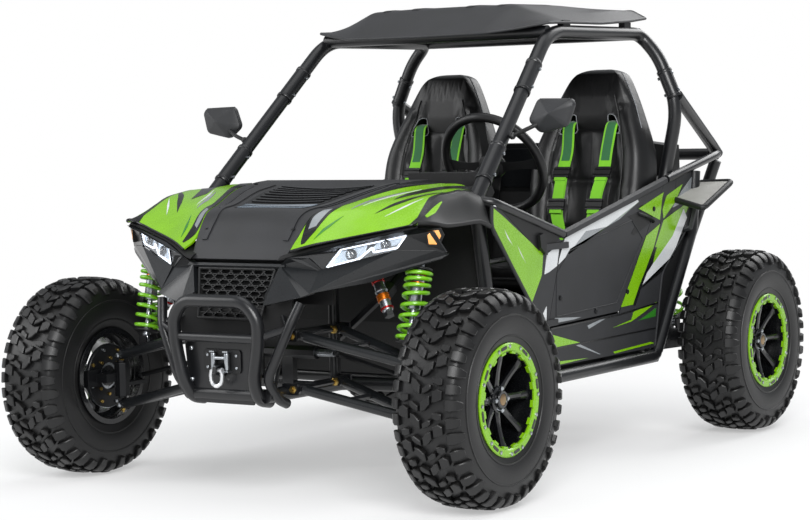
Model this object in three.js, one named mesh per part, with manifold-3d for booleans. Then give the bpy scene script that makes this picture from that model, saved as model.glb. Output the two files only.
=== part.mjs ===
// Off-road go kart: a two-seat buggy on four knobbly tyres, in millimetres with +Z up.
// The front faces -Y, +X is the driver's side, and the origin is on the ground at mid-wheelbase.
import * as THREE from "three";
import { mergeVertices } from "three/addons/utils/BufferGeometryUtils.js";
import Module from "manifold-3d";

const wasm = await Module();
wasm.setup();

// Driving sizes of the whole kart.
const wheelbase = 1830;
const trackWidth = 1544;
const tyreDiameter = 660;
const tyreWidth = 228;
const bodyHalfWidth = 600;
const cageHeight = 1500;
const seatGap = 0.4; // clearance where one piece rests on another
const panelGap = 4; // visible gap between neighbouring panels
const overrun = 5; // how far a cut runs past the faces it opens
const weldTolerance = 0.001; // points nearer than this are one point
const mergeTolerance = 0.3; // facets closer to one plane than this are joined

const halfWheelbase = wheelbase / 2;
const halfTrack = trackWidth / 2;
const axleHeight = tyreDiameter / 2;
const frontAxleY = -halfWheelbase;

// Tube sizes.
const cageTube = 24; // radius of the roll cage tubes
const frameTube = 22; // radius of the chassis tubes
const smallTube = 14; // radius of the arm and brace tubes
const bumperTube = 20; // radius of the bumper hoop
const railTube = 15; // radius of the tube along the belt line
const tubeSides = 6;
const hiddenSides = 5; // sides of a tube that the bodywork or another piece hides
const roundSides = 8; // sides of a bore, hub or pin

// Front suspension: two equal and parallel arms a side.
const armInnerX = 190;
const kingpinInset = 147; // how far the pin lies inside the wheel's centre plane
const kingpinX = halfTrack - kingpinInset;
const lowerInnerZ = 343;
const armSeparation = 165;
const armDrop = 106; // how far an arm falls from its inner to its outer pivot at rest
const armLegSpread = 110; // half the distance between an arm's two inner bushes
const bushLength = 40;
const bushRadius = 17;
const pivotPinRadius = 7;
const ballRadius = 17;
const kingpinRadius = 12;
const steeringArmLength = 95;
const tieRodInnerZ = 430;

// Front shock, mounted on the upper arm.
const shockEyeInset = 108; // how far the lower eye lies inside the pin
const shockLeanX = 10;
const shockEyeX = kingpinX - shockEyeInset;
const shockEyeRise = 34; // height of the lower eye over the upper arm's centre line
const shockTopX = shockEyeX + shockLeanX;
const shockTopZ = 730;
const shockLeanY = 73; // how far the top mount lies behind the lower eye
const shockBodyRadius = 21;
const shockRodRadius = 9;
const shockEyeRadius = 15;
const forkTop = 8; // how far a fork plate rises over the centre of the eye
const springRadius = 37; // mean radius of the coil
const springWire = 5.5;
const frontPlateGap = 1.2; // room before the lower eye, which moves forwards a little with the arm
const shockGap = 8; // room behind the lower eye, for the lean of the shock as it swings
const frontCurls = 6;
const rearCurls = 6;

// Rear swing arm and axle.
const swingPivotY = 300;
const swingPivotZ = 351;
const swingArmX = 520;
const swingArmWidth = 36;
const swingArmDepth = 70;
const pivotShaftRadius = 11;
const sleeveRadius = 22;
const axleRadius = 16;
const sprocketRadius = 85;
const sprocketX = 65;
const chainWidth = 12;

// Wheels.
const rimRadius = 152; // bead seat radius of a 12 inch rim
const ringRadius = 169; // outer radius of the beadlock ring
const ringFace = 106; // how far the ring's face lies outside the wheel's centre plane
const lugHeight = 17;
const treadSteps = 14;
const spokeCount = 8;
const hubRadius = 34;
const discRadius = 108;
const discThickness = 5;

// Cabin.
const seatX = 326;
const seatWidth = 488;
const steeringWheelRadius = 182;
const steeringRimTube = 16;
const steeringCentreY = -75;
const steeringCentreZ = 1005;
const columnTiltDeg = 30; // the column's slope below level
const columnRadius = 14;
const panelThickness = 6;

const V = (x, y, z) => new THREE.Vector3(x, y, z);
const rad = THREE.MathUtils.degToRad;
const mirrorX = (v) => V(-v.x, v.y, v.z);
const squareCorners = [[-1, -1], [1, -1], [1, 1], [-1, 1]];

// A point given as shares of the body's half width, the half wheelbase and the cage height.
const at = ([x, y, z]) => V(x * bodyHalfWidth, y * halfWheelbase, z * cageHeight);
const route = (shares) => shares.map(at);

// Solid helpers
function solidOf(vertices, triangles) {
  return new wasm.Manifold(new wasm.Mesh({
    numProp: 3,
    vertProperties: vertices,
    triVerts: new Uint32Array(triangles),
  }));
}

// A closed geometry as a solid; one whose faces point inwards is turned round.
function toManifold(geometry) {
  const bare = geometry.clone();
  bare.deleteAttribute("normal");
  bare.deleteAttribute("uv");
  const merged = mergeVertices(bare, weldTolerance);
  const vertices = merged.attributes.position.array;
  const triangles = merged.index.array;
  const solid = solidOf(vertices, triangles);
  if (solid.volume() >= 0) return solid;
  for (let i = 0; i < triangles.length; i += 3) {
    [triangles[i + 1], triangles[i + 2]] = [triangles[i + 2], triangles[i + 1]];
  }
  return solidOf(vertices, triangles);
}

const join = (...solids) => wasm.Manifold.union(solids.flat(2));

function largestOf(solid) {
  const bodies = solid.decompose();
  return bodies.reduce((a, b) => (b.volume() > a.volume() ? b : a));
}

const cut = (solid, ...cutters) => largestOf(wasm.Manifold.difference([solid, ...cutters.flat()]));

function toGeometry(solid) {
  const made = solid.asOriginal().simplify(mergeTolerance).getMesh();
  const geometry = new THREE.BufferGeometry();
  geometry.setAttribute("position", new THREE.BufferAttribute(made.vertProperties.slice(), made.numProp));
  geometry.setIndex(new THREE.BufferAttribute(made.triVerts.slice(), 1));
  geometry.computeVertexNormals();
  return geometry;
}

const flip = (solid) => solid.mirror([1, 0, 0]);
const bothSides = (solid) => join(solid, flip(solid));

// A closed surface through rings of equal point counts, capped by fans at both ends.
function loft(rings) {
  const count = rings[0].length;
  const corners = [];
  const put = (a, b, c) => corners.push(...a.toArray(), ...b.toArray(), ...c.toArray());
  for (let r = 0; r + 1 < rings.length; r++) {
    for (let k = 0; k < count; k++) {
      const next = (k + 1) % count;
      put(rings[r][k], rings[r][next], rings[r + 1][next]);
      put(rings[r][k], rings[r + 1][next], rings[r + 1][k]);
    }
  }
  const [first, last] = [rings[0], rings[rings.length - 1]];
  for (let k = 1; k + 1 < count; k++) {
    put(first[0], first[k + 1], first[k]);
    put(last[0], last[k], last[k + 1]);
  }
  const geometry = new THREE.BufferGeometry();
  geometry.setAttribute("position", new THREE.BufferAttribute(new Float32Array(corners), 3));
  return geometry;
}

// Replaces each inner corner of a route by two points, `bend` before and after it.
function rounded(points, bend) {
  const out = [points[0]];
  for (let i = 1; i + 1 < points.length; i++) {
    const [a, b, c] = [points[i - 1], points[i], points[i + 1]];
    const reach = Math.min(bend, a.distanceTo(b) / 3, b.distanceTo(c) / 3);
    const start = b.clone().addScaledVector(a.clone().sub(b).normalize(), reach);
    const end = b.clone().addScaledVector(c.clone().sub(b).normalize(), reach);
    out.push(start, end);
  }
  out.push(points[points.length - 1]);
  return out;
}

// A round bar along a route, mitred at each corner.
function bar(points, radius, sides = tubeSides) {
  const heading = (i) => points[i + 1].clone().sub(points[i]).normalize();
  const first = heading(0);
  const guide = Math.abs(first.z) > Math.SQRT1_2 ? V(0, 1, 0) : V(0, 0, 1);
  const u = guide.clone().cross(first).normalize();
  const v = first.clone().cross(u);
  let spokes = Array.from({ length: sides }, (_, k) => {
    const angle = (2 * Math.PI * (k + 1 / 2)) / sides;
    return u.clone().multiplyScalar(radius * Math.cos(angle)).addScaledVector(v, radius * Math.sin(angle));
  });
  const rings = [spokes.map((s) => s.clone().add(points[0]))];
  for (let i = 1; i < points.length; i++) {
    const before = heading(i - 1);
    const after = i + 1 < points.length ? heading(i) : before;
    const mitre = before.clone().add(after).normalize();
    rings.push(
      spokes.map((s) => {
        const slide = -s.dot(mitre) / before.dot(mitre);
        return s.clone().addScaledVector(before, slide).add(points[i]);
      }),
    );
    const turn = new THREE.Quaternion().setFromUnitVectors(before, after);
    spokes = spokes.map((s) => s.clone().applyQuaternion(turn));
  }
  return toManifold(loft(rings));
}

// The radius of a bore whose flats clear a pin of the given radius at any angle.
const boreRadius = (pin) => (pin + seatGap) / Math.cos(Math.PI / roundSides);

// A cylinder from one point to another.
const rod = (from, to, radius, sides = tubeSides) => bar([from, to], radius, sides);

const ball = (centre, radius) => {
  const geometry = new THREE.SphereGeometry(radius, roundSides, roundSides / 2);
  geometry.translate(centre.x, centre.y, centre.z);
  return toManifold(geometry);
};

// An upright box from its least to its greatest corner.
function box(low, high) {
  const geometry = new THREE.BoxGeometry(high.x - low.x, high.y - low.y, high.z - low.z);
  geometry.translate((low.x + high.x) / 2, (low.y + high.y) / 2, (low.z + high.z) / 2);
  return toManifold(geometry);
}

// A slab: a polygon in space and its copy moved by `depth`.
function slab(points, depth) {
  return toManifold(loft([points, points.map((p) => p.clone().add(depth))]));
}

// A panel over a grid of points, `thickness` deep against its own normals.
function sheet(grid, thickness) {
  const rows = grid.length;
  const columns = grid[0].length;
  const normal = (r, c) => {
    const along = grid[Math.min(r + 1, rows - 1)][c].clone().sub(grid[Math.max(r - 1, 0)][c]);
    const across = grid[r][Math.min(c + 1, columns - 1)].clone().sub(grid[r][Math.max(c - 1, 0)]);
    return across.cross(along).normalize();
  };
  const inset = (p, r, c) => p.clone().addScaledVector(normal(r, c), -thickness);
  const inner = grid.map((row, r) => row.map((p, c) => inset(p, r, c)));
  const corners = [];
  const put = (...points) => points.forEach((p) => corners.push(...p.toArray()));
  const quad = (a, b, c, d) => {
    put(a, b, c);
    put(a, c, d);
  };
  for (let r = 0; r + 1 < rows; r++) {
    for (let c = 0; c + 1 < columns; c++) {
      quad(grid[r][c], grid[r][c + 1], grid[r + 1][c + 1], grid[r + 1][c]);
      quad(inner[r][c], inner[r + 1][c], inner[r + 1][c + 1], inner[r][c + 1]);
    }
  }
  for (let r = 0; r + 1 < rows; r++) {
    const c = columns - 1;
    quad(grid[r][0], grid[r + 1][0], inner[r + 1][0], inner[r][0]);
    quad(grid[r + 1][c], grid[r][c], inner[r][c], inner[r + 1][c]);
  }
  for (let c = 0; c + 1 < columns; c++) {
    const r = rows - 1;
    quad(grid[0][c + 1], grid[0][c], inner[0][c], inner[0][c + 1]);
    quad(grid[r][c], grid[r][c + 1], inner[r][c + 1], inner[r][c]);
  }
  const geometry = new THREE.BufferGeometry();
  geometry.setAttribute("position", new THREE.BufferAttribute(new Float32Array(corners), 3));
  return toManifold(geometry);
}

// A flat plate from an outline of [y, z] points, standing between two values of x.
function sidePlate(outline, xLow, xHigh) {
  const shape = new THREE.Shape(outline.map(([y, z]) => new THREE.Vector2(y, z)));
  const geometry = new THREE.ExtrudeGeometry(shape, { depth: xHigh - xLow, bevelEnabled: false });
  // The shape's x, y and depth become the kart's y, z and x.
  geometry.applyMatrix4(new THREE.Matrix4().makeBasis(V(0, 1, 0), V(0, 0, 1), V(1, 0, 0)));
  geometry.translate(xLow, 0, 0);
  return toManifold(geometry);
}

// A solid of revolution about an axis along X through `centre`: the profile is [radius, x] pairs.
function turned(profile, centre, steps) {
  const geometry = new THREE.LatheGeometry(
    profile.map(([r, x]) => new THREE.Vector2(r, x)),
    steps,
    Math.PI / steps,
  );
  geometry.rotateZ(-Math.PI / 2);
  geometry.translate(centre.x, centre.y, centre.z);
  return toManifold(geometry);
}

// One unbroken coil between two points, flattened ends left open.
function coil(from, to, radius, wire, curls) {
  const stepsPerCurl = 8;
  const wireSides = 5;
  const axis = to.clone().sub(from);
  const along = axis.clone().normalize();
  const u = V(1, 0, 0).cross(along).normalize();
  const v = along.clone().cross(u);
  const steps = stepsPerCurl * curls;
  const centre = (i) => {
    const angle = (2 * Math.PI * i) / stepsPerCurl;
    return from
      .clone()
      .addScaledVector(axis, i / steps)
      .addScaledVector(u, radius * Math.cos(angle))
      .addScaledVector(v, radius * Math.sin(angle));
  };
  const rings = Array.from({ length: steps + 1 }, (_, i) => {
    const angle = (2 * Math.PI * i) / stepsPerCurl;
    const outward = u.clone().multiplyScalar(Math.cos(angle)).addScaledVector(v, Math.sin(angle));
    return Array.from({ length: wireSides }, (_, k) => {
      const turn = (2 * Math.PI * k) / wireSides;
      return centre(i)
        .addScaledVector(outward, wire * Math.cos(turn))
        .addScaledVector(along, wire * Math.sin(turn));
    });
  });
  const least = axis.length() / curls - 2 * wire;
  console.log("coil of " + curls + " curls: least gap to itself " + least.toFixed(1) + " mm");
  return toManifold(loft(rings));
}

// Materials, in the photograph's colours
const paint = (color, roughness, metalness) =>
  new THREE.MeshStandardMaterial({ color, roughness, metalness });
const blackTubing = paint("#17181a", 0.45, 0.3);
const charcoalPlastic = paint("#2b2c2e", 0.5, 0);
const limePlastic = paint("#86d22a", 0.35, 0);
const meshPlastic = paint("#141415", 0.6, 0);
const lensPlastic = paint("#dfe6ee", 0.15, 0);
const seatLeather = paint("#1a1a1b", 0.55, 0);
const limeWebbing = paint("#63c832", 0.8, 0);
const tyreRubber = paint("#191919", 0.85, 0);
const rimPaint = paint("#101112", 0.3, 0.4);
const limeSpring = paint("#7fd420", 0.4, 0.3);
const blackSteel = paint("#1d1e20", 0.5, 0.6);
const zincSteel = paint("#b9a264", 0.35, 0.9);
const brightSteel = paint("#c9ccd0", 0.25, 0.95);
const castMetal = paint("#6d7074", 0.5, 0.8);
const tubPlastic = paint("#202123", 0.75, 0);

const kart = new THREE.Group();
kart.name = "off_road_go_kart";

function add(name, solid, material) {
  const mesh = new THREE.Mesh(toGeometry(solid), material);
  mesh.name = name;
  kart.add(mesh);
  return mesh;
}

// Roll cage
const cageBend = 60;
const cageHoopShares = [
  [0.895, -0.588, 0.603],
  [0.77, 0.077, 0.965],
  [0.77, 0.803, 0.968],
  [0.892, 0.807, 0.915],
  [1.04, 0.803, 0.789],
  [1.008, 0.803, 0.627],
  [0.953, 0.656, 0.413],
  [0.95, 0.546, 0.212],
];
const cageFrontLegShares = [[0.895, -0.588, 0.603], [0.908, -0.546, 0.413], [0.937, -0.437, 0.212]];
const cageBraceShares = [[1.017, 0.807, 0.817], [0.933, 1.224, 0.693], [0.933, 1.279, 0.669]];
const beltRearShares = [[1, 0.721, 0.617], [1, 1.18, 0.669], [0.933, 1.279, 0.669]];
const beltFrontShares = [[0.895, -0.588, 0.603], [0.997, -0.568, 0.595], [1, -0.107, 0.515]];
const sleeveShares = [0.1, 0.3, 0.62, 0.8]; // where the clamp sleeves start and end along a pillar
const sleeveExtra = 5; // how far a sleeve stands out of its tube

const mirrorFootShare = 0.36;
const mirrorBall = 12;
const mirrorStem = 8;

function cageSolid(grow) {
  const hoop = route(cageHoopShares);
  const pillar = (s) => hoop[0].clone().lerp(hoop[1], s);
  const parts = [
    bar(rounded(hoop, cageBend), cageTube + grow),
    bar(route(cageFrontLegShares), cageTube + grow),
    bar(route(cageBraceShares), frameTube + grow, hiddenSides),
    bar(route(beltRearShares), railTube + grow, hiddenSides),
    bar(route(beltFrontShares), railTube + grow, hiddenSides),
    rod(
      pillar(mirrorFootShare),
      pillar(mirrorFootShare).add(V(cageTube, 0, 0)),
      mirrorStem + grow,
      roundSides,
    ),
    rod(pillar(sleeveShares[0]), pillar(sleeveShares[1]), cageTube + sleeveExtra + grow),
    rod(pillar(sleeveShares[2]), pillar(sleeveShares[3]), cageTube + sleeveExtra + grow),
  ];
  const across = (p, radius) => rod(p, mirrorX(p), radius + grow, hiddenSides);
  return join(
    bothSides(join(parts)),
    across(hoop[1], frameTube),
    across(hoop[2], frameTube),
    across(hoop[0].clone().lerp(route(cageFrontLegShares)[1], 1 / 8), frameTube),
    across(route(cageBraceShares)[2], frameTube),
  );
}

// Chassis frame
const mainRailShares = [
  [0.25, -1.251, 0.22],
  [0.25, -0.809, 0.217],
  [0.55, -0.568, 0.2],
  [0.55, 0.262, 0.2],
  [0.55, 0.481, 0.313],
  [0.55, 1.235, 0.32],
];
const nerfShares = [
  [0.55, -0.437, 0.2],
  [0.933, -0.437, 0.2],
  [1, -0.404, 0.201],
  [1, 0.605, 0.199],
  [1, 0.942, 0.49],
  [1, 0.973, 0.632],
];
const upperFrontShares = [
  [0.25, -1.224, 0.221],
  [0.25, -1.148, 0.347],
  [0.25, -1.093, 0.46],
  [0.25, -0.929, 0.51],
  [0.25, -0.765, 0.51],
  [0.483, -0.619, 0.567],
];
const rearLegShares = [[0.927, 1.27, 0.653], [0.717, 1.257, 0.427], [0.55, 1.219, 0.321]];
const rearTowerShares = [[0.55, 0.765, 0.316], [0.758, 0.858, 0.543]];
const floorCrossShare = [1, 0.246, 0.2];
const cradleShares = [[0.55, 0.781, 0.336], [0.55, 1.197, 0.32]];
const pinOverhang = 12;
const earThickness = 8;
const upperInnerZ = lowerInnerZ + armSeparation;
const armPinReach = armLegSpread + bushLength / 2 + pinOverhang;
const bulkheadX = mainRailShares[0][0] * bodyHalfWidth;
const rackY = frontAxleY + steeringArmLength;
const rackRadius = 12;
const rackHousingRadius = 22;
const rackHousingHalf = 110;
const shockTopY = frontAxleY + shockLeanY;
const towerTubeZ = shockTopZ + shockEyeRadius + smallTube + pivotPinRadius;
const eyeHalfWidth = 10;
const earPlate = 6;
const rearShockTopY = 785;
const rearShockTopZ = 800;
const columnDirection = V(0, -Math.cos(rad(columnTiltDeg)), -Math.sin(rad(columnTiltDeg)));
const steeringCentre = V(seatX, steeringCentreY, steeringCentreZ);
const columnLength = 768;
const columnEnd = steeringCentre.clone().addScaledVector(columnDirection, columnLength);
const gearCaseSize = 26;
const pivotCollar = 8;

// One long pin for an arm's two bushes, held at its ends by ears on the bulkhead tube.
function pivotPin(z) {
  const pin = rod(
    V(armInnerX, frontAxleY - armPinReach, z),
    V(armInnerX, frontAxleY + armPinReach, z),
    pivotPinRadius,
    hiddenSides,
  );
  const half = earThickness / 2;
  const ears = [-1, 1].map((side) => {
    const y = frontAxleY + side * armPinReach;
    return box(
      V(bulkheadX, y - half, z - bushRadius),
      V(armInnerX + bushRadius, y + half, z + bushRadius),
    );
  });
  return join(pin, ears);
}

// The two ears that hold a shock's upper eye, hung from the tube above it.
function shockEars(eye, top) {
  return [-1, 1].map((side) => {
    const near = eye.x + side * (eyeHalfWidth + seatGap);
    const far = near + side * earPlate;
    return box(
      V(Math.min(near, far), eye.y - shockEyeRadius / 2, eye.z - shockEyeRadius / 2),
      V(Math.max(near, far), eye.y + shockEyeRadius / 2, top),
    );
  });
}

const frontShockTop = V(shockTopX, shockTopY, shockTopZ);
const rearShockTop = V(swingArmX, rearShockTopY, rearShockTopZ);
const towerReach = eyeHalfWidth + earPlate + seatGap;
const rearTowerZ = rearShockTopZ + shockEyeRadius + smallTube + pivotPinRadius;
const damperShares = [[0.563, -0.934, 0.507], [0.747, -0.986, 0.375]];
const damperRadius = 17;

function chassisSolid(grow) {
  const rail = route(mainRailShares);
  const longTube = (z) =>
    rod(
      V(bulkheadX, frontAxleY - armPinReach, z),
      V(bulkheadX, frontAxleY + armPinReach, z),
      smallTube + grow,
      hiddenSides,
    );
  const post = V(bulkheadX, frontAxleY + armPinReach, lowerInnerZ);
  const left = join(
    bar(rail, frameTube + grow, hiddenSides),
    bar(route(nerfShares), frameTube + grow, hiddenSides),
    bar(route(upperFrontShares), smallTube + grow, hiddenSides),
    bar(route(rearLegShares), frameTube + grow, hiddenSides),
    bar(
      [...route(rearTowerShares), V(rearShockTop.x, rearShockTop.y, rearTowerZ)],
      smallTube + grow,
      hiddenSides,
    ),
    longTube(upperInnerZ),
    rod(post, V(post.x, post.y, towerTubeZ), smallTube + grow, hiddenSides),
    pivotPin(lowerInnerZ),
    pivotPin(upperInnerZ),
    shockEars(frontShockTop, towerTubeZ),
    shockEars(rearShockTop, rearTowerZ),
    rod(...route(damperShares), damperRadius + grow, hiddenSides),
  );
  const across = (x, y, z, radius, sides = hiddenSides) =>
    rod(V(-x, y, z), V(x, y, z), radius + grow, sides);
  const acrossShare = (share, radius) => across(at(share).x, at(share).y, at(share).z, radius);
  const rackAxis = (radius) => rod(
    V(-rackHousingHalf, rackY, tieRodInnerZ),
    V(rackHousingHalf, rackY, tieRodInnerZ),
    radius,
    roundSides,
  );
  const caseFoot = V(rackHousingHalf - rackHousingRadius, rackY, tieRodInnerZ);
  const caseElbow = V(caseFoot.x, columnEnd.y, tieRodInnerZ);
  const crosses = [
    acrossShare(mainRailShares[0], frameTube),
    acrossShare(nerfShares[0], frameTube),
    acrossShare(floorCrossShare, frameTube),
    ...cradleShares.map((s) => acrossShare(s, smallTube)),
    across(shockTopX + towerReach, shockTopY, towerTubeZ, smallTube),
    across(swingArmX + towerReach, rearShockTopY, rearTowerZ, smallTube),
    across(
      swingArmX + swingArmWidth + pivotCollar,
      swingPivotY,
      swingPivotZ,
      pivotShaftRadius,
      roundSides,
    ),
    bothSides(rod(
      V(swingArmX + swingArmWidth + seatGap, swingPivotY, swingPivotZ),
      V(swingArmX + swingArmWidth + pivotCollar, swingPivotY, swingPivotZ),
      sleeveRadius + grow,
      roundSides,
    )),
    across(bulkheadX, rackY, mainRailShares[1][2] * cageHeight, smallTube),
    box(
      V(-rackHousingRadius, rackY - rackRadius, mainRailShares[1][2] * cageHeight),
      V(rackHousingRadius, rackY + rackRadius, tieRodInnerZ),
    ),
    rackAxis(rackHousingRadius),
    bar([caseFoot, caseElbow, columnEnd.clone()], smallTube + grow, hiddenSides),
    rod(
      columnEnd.clone().addScaledVector(columnDirection, gearCaseSize),
      columnEnd.clone().addScaledVector(columnDirection, -gearCaseSize),
      gearCaseSize,
    ),
  ];
  const bores = [
    rod(
      V(-bodyHalfWidth, rackY, tieRodInnerZ),
      V(bodyHalfWidth, rackY, tieRodInnerZ),
      boreRadius(rackRadius),
      roundSides,
    ),
    rod(
      columnEnd.clone().addScaledVector(columnDirection, seatGap),
      steeringCentre,
      boreRadius(columnRadius),
      roundSides,
    ),
  ];
  return cut(join(bothSides(left), crosses), bores);
}

const chassis = chassisSolid(0);
const chassisRoom = chassisSolid(seatGap);
const cage = cut(cageSolid(0), chassisRoom);
const cageRoom = cageSolid(seatGap);
add("chassis_frame", chassis, blackTubing);
add("roll_cage", cage, blackTubing);

// Front bumper: the hoop, its cross bar, the winch plate and the shackle's lug
const hoopShares = [
  [0, -1.311, 0.421],
  [0.193, -1.311, 0.421],
  [0.3, -1.303, 0.383],
  [0.307, -1.294, 0.313],
  [0.267, -1.277, 0.233],
];
const hoopBraceShares = [[0.307, -1.294, 0.303], [0.387, -1.235, 0.353], [0.437, -1.222, 0.413]];
const hoopCrossShare = [0.297, -1.297, 0.343];
const winchPlateShares = [[0.287, -1.266, 0.201], [0.287, -1.257, 0.324]];
const fairleadShares = [[0.103, -1.29, 0.261], [0.103, -1.257, 0.297]];
const shackleZ = 408;
const shackleY = -1194;
const shacklePinRadius = 6;
const shackleBow = 24;
const shackleWire = 6;
const lugHalf = 7;
const lugRadius = 14;

function bumperSolid() {
  const hoop = route(hoopShares);
  const left = join(
    bar(rounded(hoop, cageBend), bumperTube),
    bar(route(hoopBraceShares), smallTube, hiddenSides),
  );
  const [plateLow, plateHigh] = route(winchPlateShares);
  const [leadLow, leadHigh] = route(fairleadShares);
  const railFront = route(mainRailShares)[0].y - seatGap;
  const lug = join(
    box(V(-lugHalf, shackleY, shackleZ - lugRadius), V(lugHalf, plateHigh.y, shackleZ + lugRadius)),
    rod(V(-lugHalf, shackleY, shackleZ), V(lugHalf, shackleY, shackleZ), lugRadius, roundSides),
  );
  return cut(
    join(
      bothSides(left),
      rod(at(hoopCrossShare), mirrorX(at(hoopCrossShare)), smallTube, hiddenSides),
      box(V(-plateLow.x, plateLow.y, plateLow.z), V(plateHigh.x, railFront, plateHigh.z)),
      box(
        V(-leadLow.x, leadLow.y, leadLow.z + lugRadius),
        V(leadHigh.x, plateHigh.y - seatGap, leadHigh.z + lugRadius),
      ),
      lug,
    ),
    rod(
      V(-bodyHalfWidth, shackleY, shackleZ),
      V(bodyHalfWidth, shackleY, shackleZ),
      boreRadius(shacklePinRadius),
      roundSides,
    )
      .intersect(box(
        V(-lugHalf * 2, shackleY - lugRadius * 2, 0),
        V(lugHalf * 2, shackleY + lugRadius * 2, cageHeight),
      )),
    chassisRoom,
  );
}
add("front_bumper", bumperSolid(), blackTubing);

// A shackle's bow and the pin that closes it.
function shackleSolid() {
  const half = lugHalf + shackleWire * 2;
  const pin = V(half, shackleY, shackleZ);
  const bow = [
    pin,
    V(shackleBow, shackleY, shackleZ - shackleBow),
    V(shackleWire * 2, shackleY, shackleZ - 2 * shackleBow),
  ];
  const loop = [...bow, ...bow.map(mirrorX).reverse()];
  const head = rod(pin, V(half + shackleWire, shackleY, shackleZ), shackleWire * 3 / 2);
  return join(
    bar(rounded(loop, shackleBow / 2), shackleWire),
    rod(V(-half, shackleY, shackleZ), pin, shacklePinRadius),
    head,
  );
}
add("tow_shackle", shackleSolid(), brightSteel);

// Front suspension, left side; the right side is its mirror image
const tieRodOuterZ = tieRodInnerZ - armDrop;
const lowerBall = V(kingpinX, frontAxleY, lowerInnerZ - armDrop);
const upperBall = V(kingpinX, frontAxleY, upperInnerZ - armDrop);
const armSlope = armDrop / (kingpinX - armInnerX);
const shockEyeZ = upperInnerZ - armSlope * (shockEyeX - armInnerX) + shockEyeRise;
const frontShockLow = V(shockEyeX, frontAxleY, shockEyeZ);
const kingpinFlange = 7;
const kingpinFlangeRadius = 15;
const kingpinStandoff = 5; // room over the lower ball for the arm's legs at full droop
const knuckleRadius = 26;
const stubEnd = 44; // how far the stub axle reaches past the wheel's centre plane
const steeringArmHalf = 14;
const steeringArmThick = 12;
const tieRodBall = 14;
const tieRodRadius = 8;
const discOffset = -84; // the brake disc's place from the wheel's centre plane
const discClearance = 0.5;
const caliperSize = { inner: 62, outer: 118, halfHeight: 28, halfWidth: 19 };

function armSolid(ballCentre, innerZ) {
  const bushes = [-1, 1].map((side) => V(armInnerX, frontAxleY + side * armLegSpread, innerZ));
  const along = V(0, bushLength / 2, 0);
  const legs = bushes.map((bush) => rod(bush, ballCentre, smallTube, hiddenSides));
  const brace = rod(
    ...bushes.map((bush) => bush.clone().lerp(ballCentre, 1 / 3)),
    smallTube * 2 / 3,
    hiddenSides,
  );
  const hulls = bushes.map((b) => rod(
    b.clone().sub(along),
    b.clone().add(along),
    bushRadius,
    roundSides,
  ));
  const pin = V(0, armPinReach, 0);
  const centre = V(armInnerX, frontAxleY, innerZ);
  return cut(
    join(legs, brace, hulls, ball(ballCentre, ballRadius)),
    rod(centre.clone().sub(pin), centre.clone().add(pin), boreRadius(pivotPinRadius), roundSides),
  );
}

// The two plates that take a shock's lower eye between them.
function forkPlates(eye, drop) {
  return [-1, 1].map((side) => {
    const near = eye.y + side * (eyeHalfWidth + (side < 0 ? frontPlateGap : shockGap));
    const far = near + side * earPlate;
    return box(
      V(eye.x - shockEyeRadius, Math.min(near, far), eye.z - drop),
      V(eye.x + shockEyeRadius, Math.max(near, far), eye.z + forkTop),
    );
  });
}

function kingpinSolid() {
  const low = lowerBall.clone().add(V(0, 0, ballRadius + kingpinStandoff));
  const high = upperBall.clone().sub(V(0, 0, ballRadius + seatGap));
  const flange = V(0, 0, kingpinFlange);
  return join(
    rod(low, high, kingpinRadius, roundSides),
    rod(low, low.clone().add(flange), kingpinFlangeRadius),
    rod(high.clone().sub(flange), high, kingpinFlangeRadius),
  );
}

// The block that squeezes a brake disc, with the disc's slot cut out of it.
function caliperSolid(wheelCentre, side) {
  const x = wheelCentre.x + discOffset;
  const { inner, outer, halfHeight, halfWidth } = caliperSize;
  const near = wheelCentre.y + side * inner;
  const far = wheelCentre.y + side * outer;
  const block = box(
    V(x - halfWidth, Math.min(near, far), wheelCentre.z - halfHeight),
    V(x + halfWidth, Math.max(near, far), wheelCentre.z + halfHeight),
  );
  const room = discThickness / 2 + discClearance;
  const rim = wheelCentre.y + side * (discRadius + overrun);
  return block.subtract(box(
    V(x - room, Math.min(wheelCentre.y, rim), wheelCentre.z - halfHeight - overrun),
    V(x + room, Math.max(wheelCentre.y, rim), wheelCentre.z + halfHeight + overrun),
  ));
}

function knuckleSolid() {
  const wheelCentre = V(halfTrack, frontAxleY, axleHeight);
  const low = lowerBall.z + ballRadius + kingpinFlange + kingpinStandoff + seatGap;
  const high = upperBall.z - ballRadius - kingpinFlange - 2 * seatGap;
  const armTop = tieRodOuterZ - tieRodBall - seatGap;
  const arm = box(
    V(kingpinX - steeringArmHalf, frontAxleY, armTop - steeringArmThick),
    V(kingpinX + steeringArmHalf, rackY + steeringArmHalf, armTop),
  );
  const { inner, halfHeight, halfWidth } = caliperSize;
  const bracket = box(
    V(kingpinX, frontAxleY - inner - smallTube, axleHeight - halfHeight / 2),
    V(halfTrack + discOffset - halfWidth + smallTube / 2, frontAxleY, axleHeight + halfHeight / 2),
  );
  return cut(
    join(
      rod(V(kingpinX, frontAxleY, low), V(kingpinX, frontAxleY, high), knuckleRadius, roundSides),
      rod(
        V(kingpinX, frontAxleY, axleHeight),
        V(halfTrack + stubEnd, frontAxleY, axleHeight),
        axleRadius,
        roundSides,
      ),
      arm,
      bracket.subtract(box(
        V(kingpinX + knuckleRadius, frontAxleY - inner + smallTube / 2, 0),
        V(halfTrack, frontAxleY + inner, cageHeight),
      )),
      caliperSolid(wheelCentre, -1),
    ),
    rod(
      V(kingpinX, frontAxleY, 0),
      V(kingpinX, frontAxleY, cageHeight),
      boreRadius(kingpinRadius),
      roundSides,
    ),
  );
}

function tieRodSolid() {
  const inner = V(armInnerX, rackY, tieRodInnerZ);
  const outer = V(kingpinX, rackY, tieRodOuterZ);
  return join(
    rod(inner, outer, tieRodRadius, hiddenSides),
    ball(inner, rackRadius),
    ball(outer, tieRodBall),
  );
}

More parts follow.
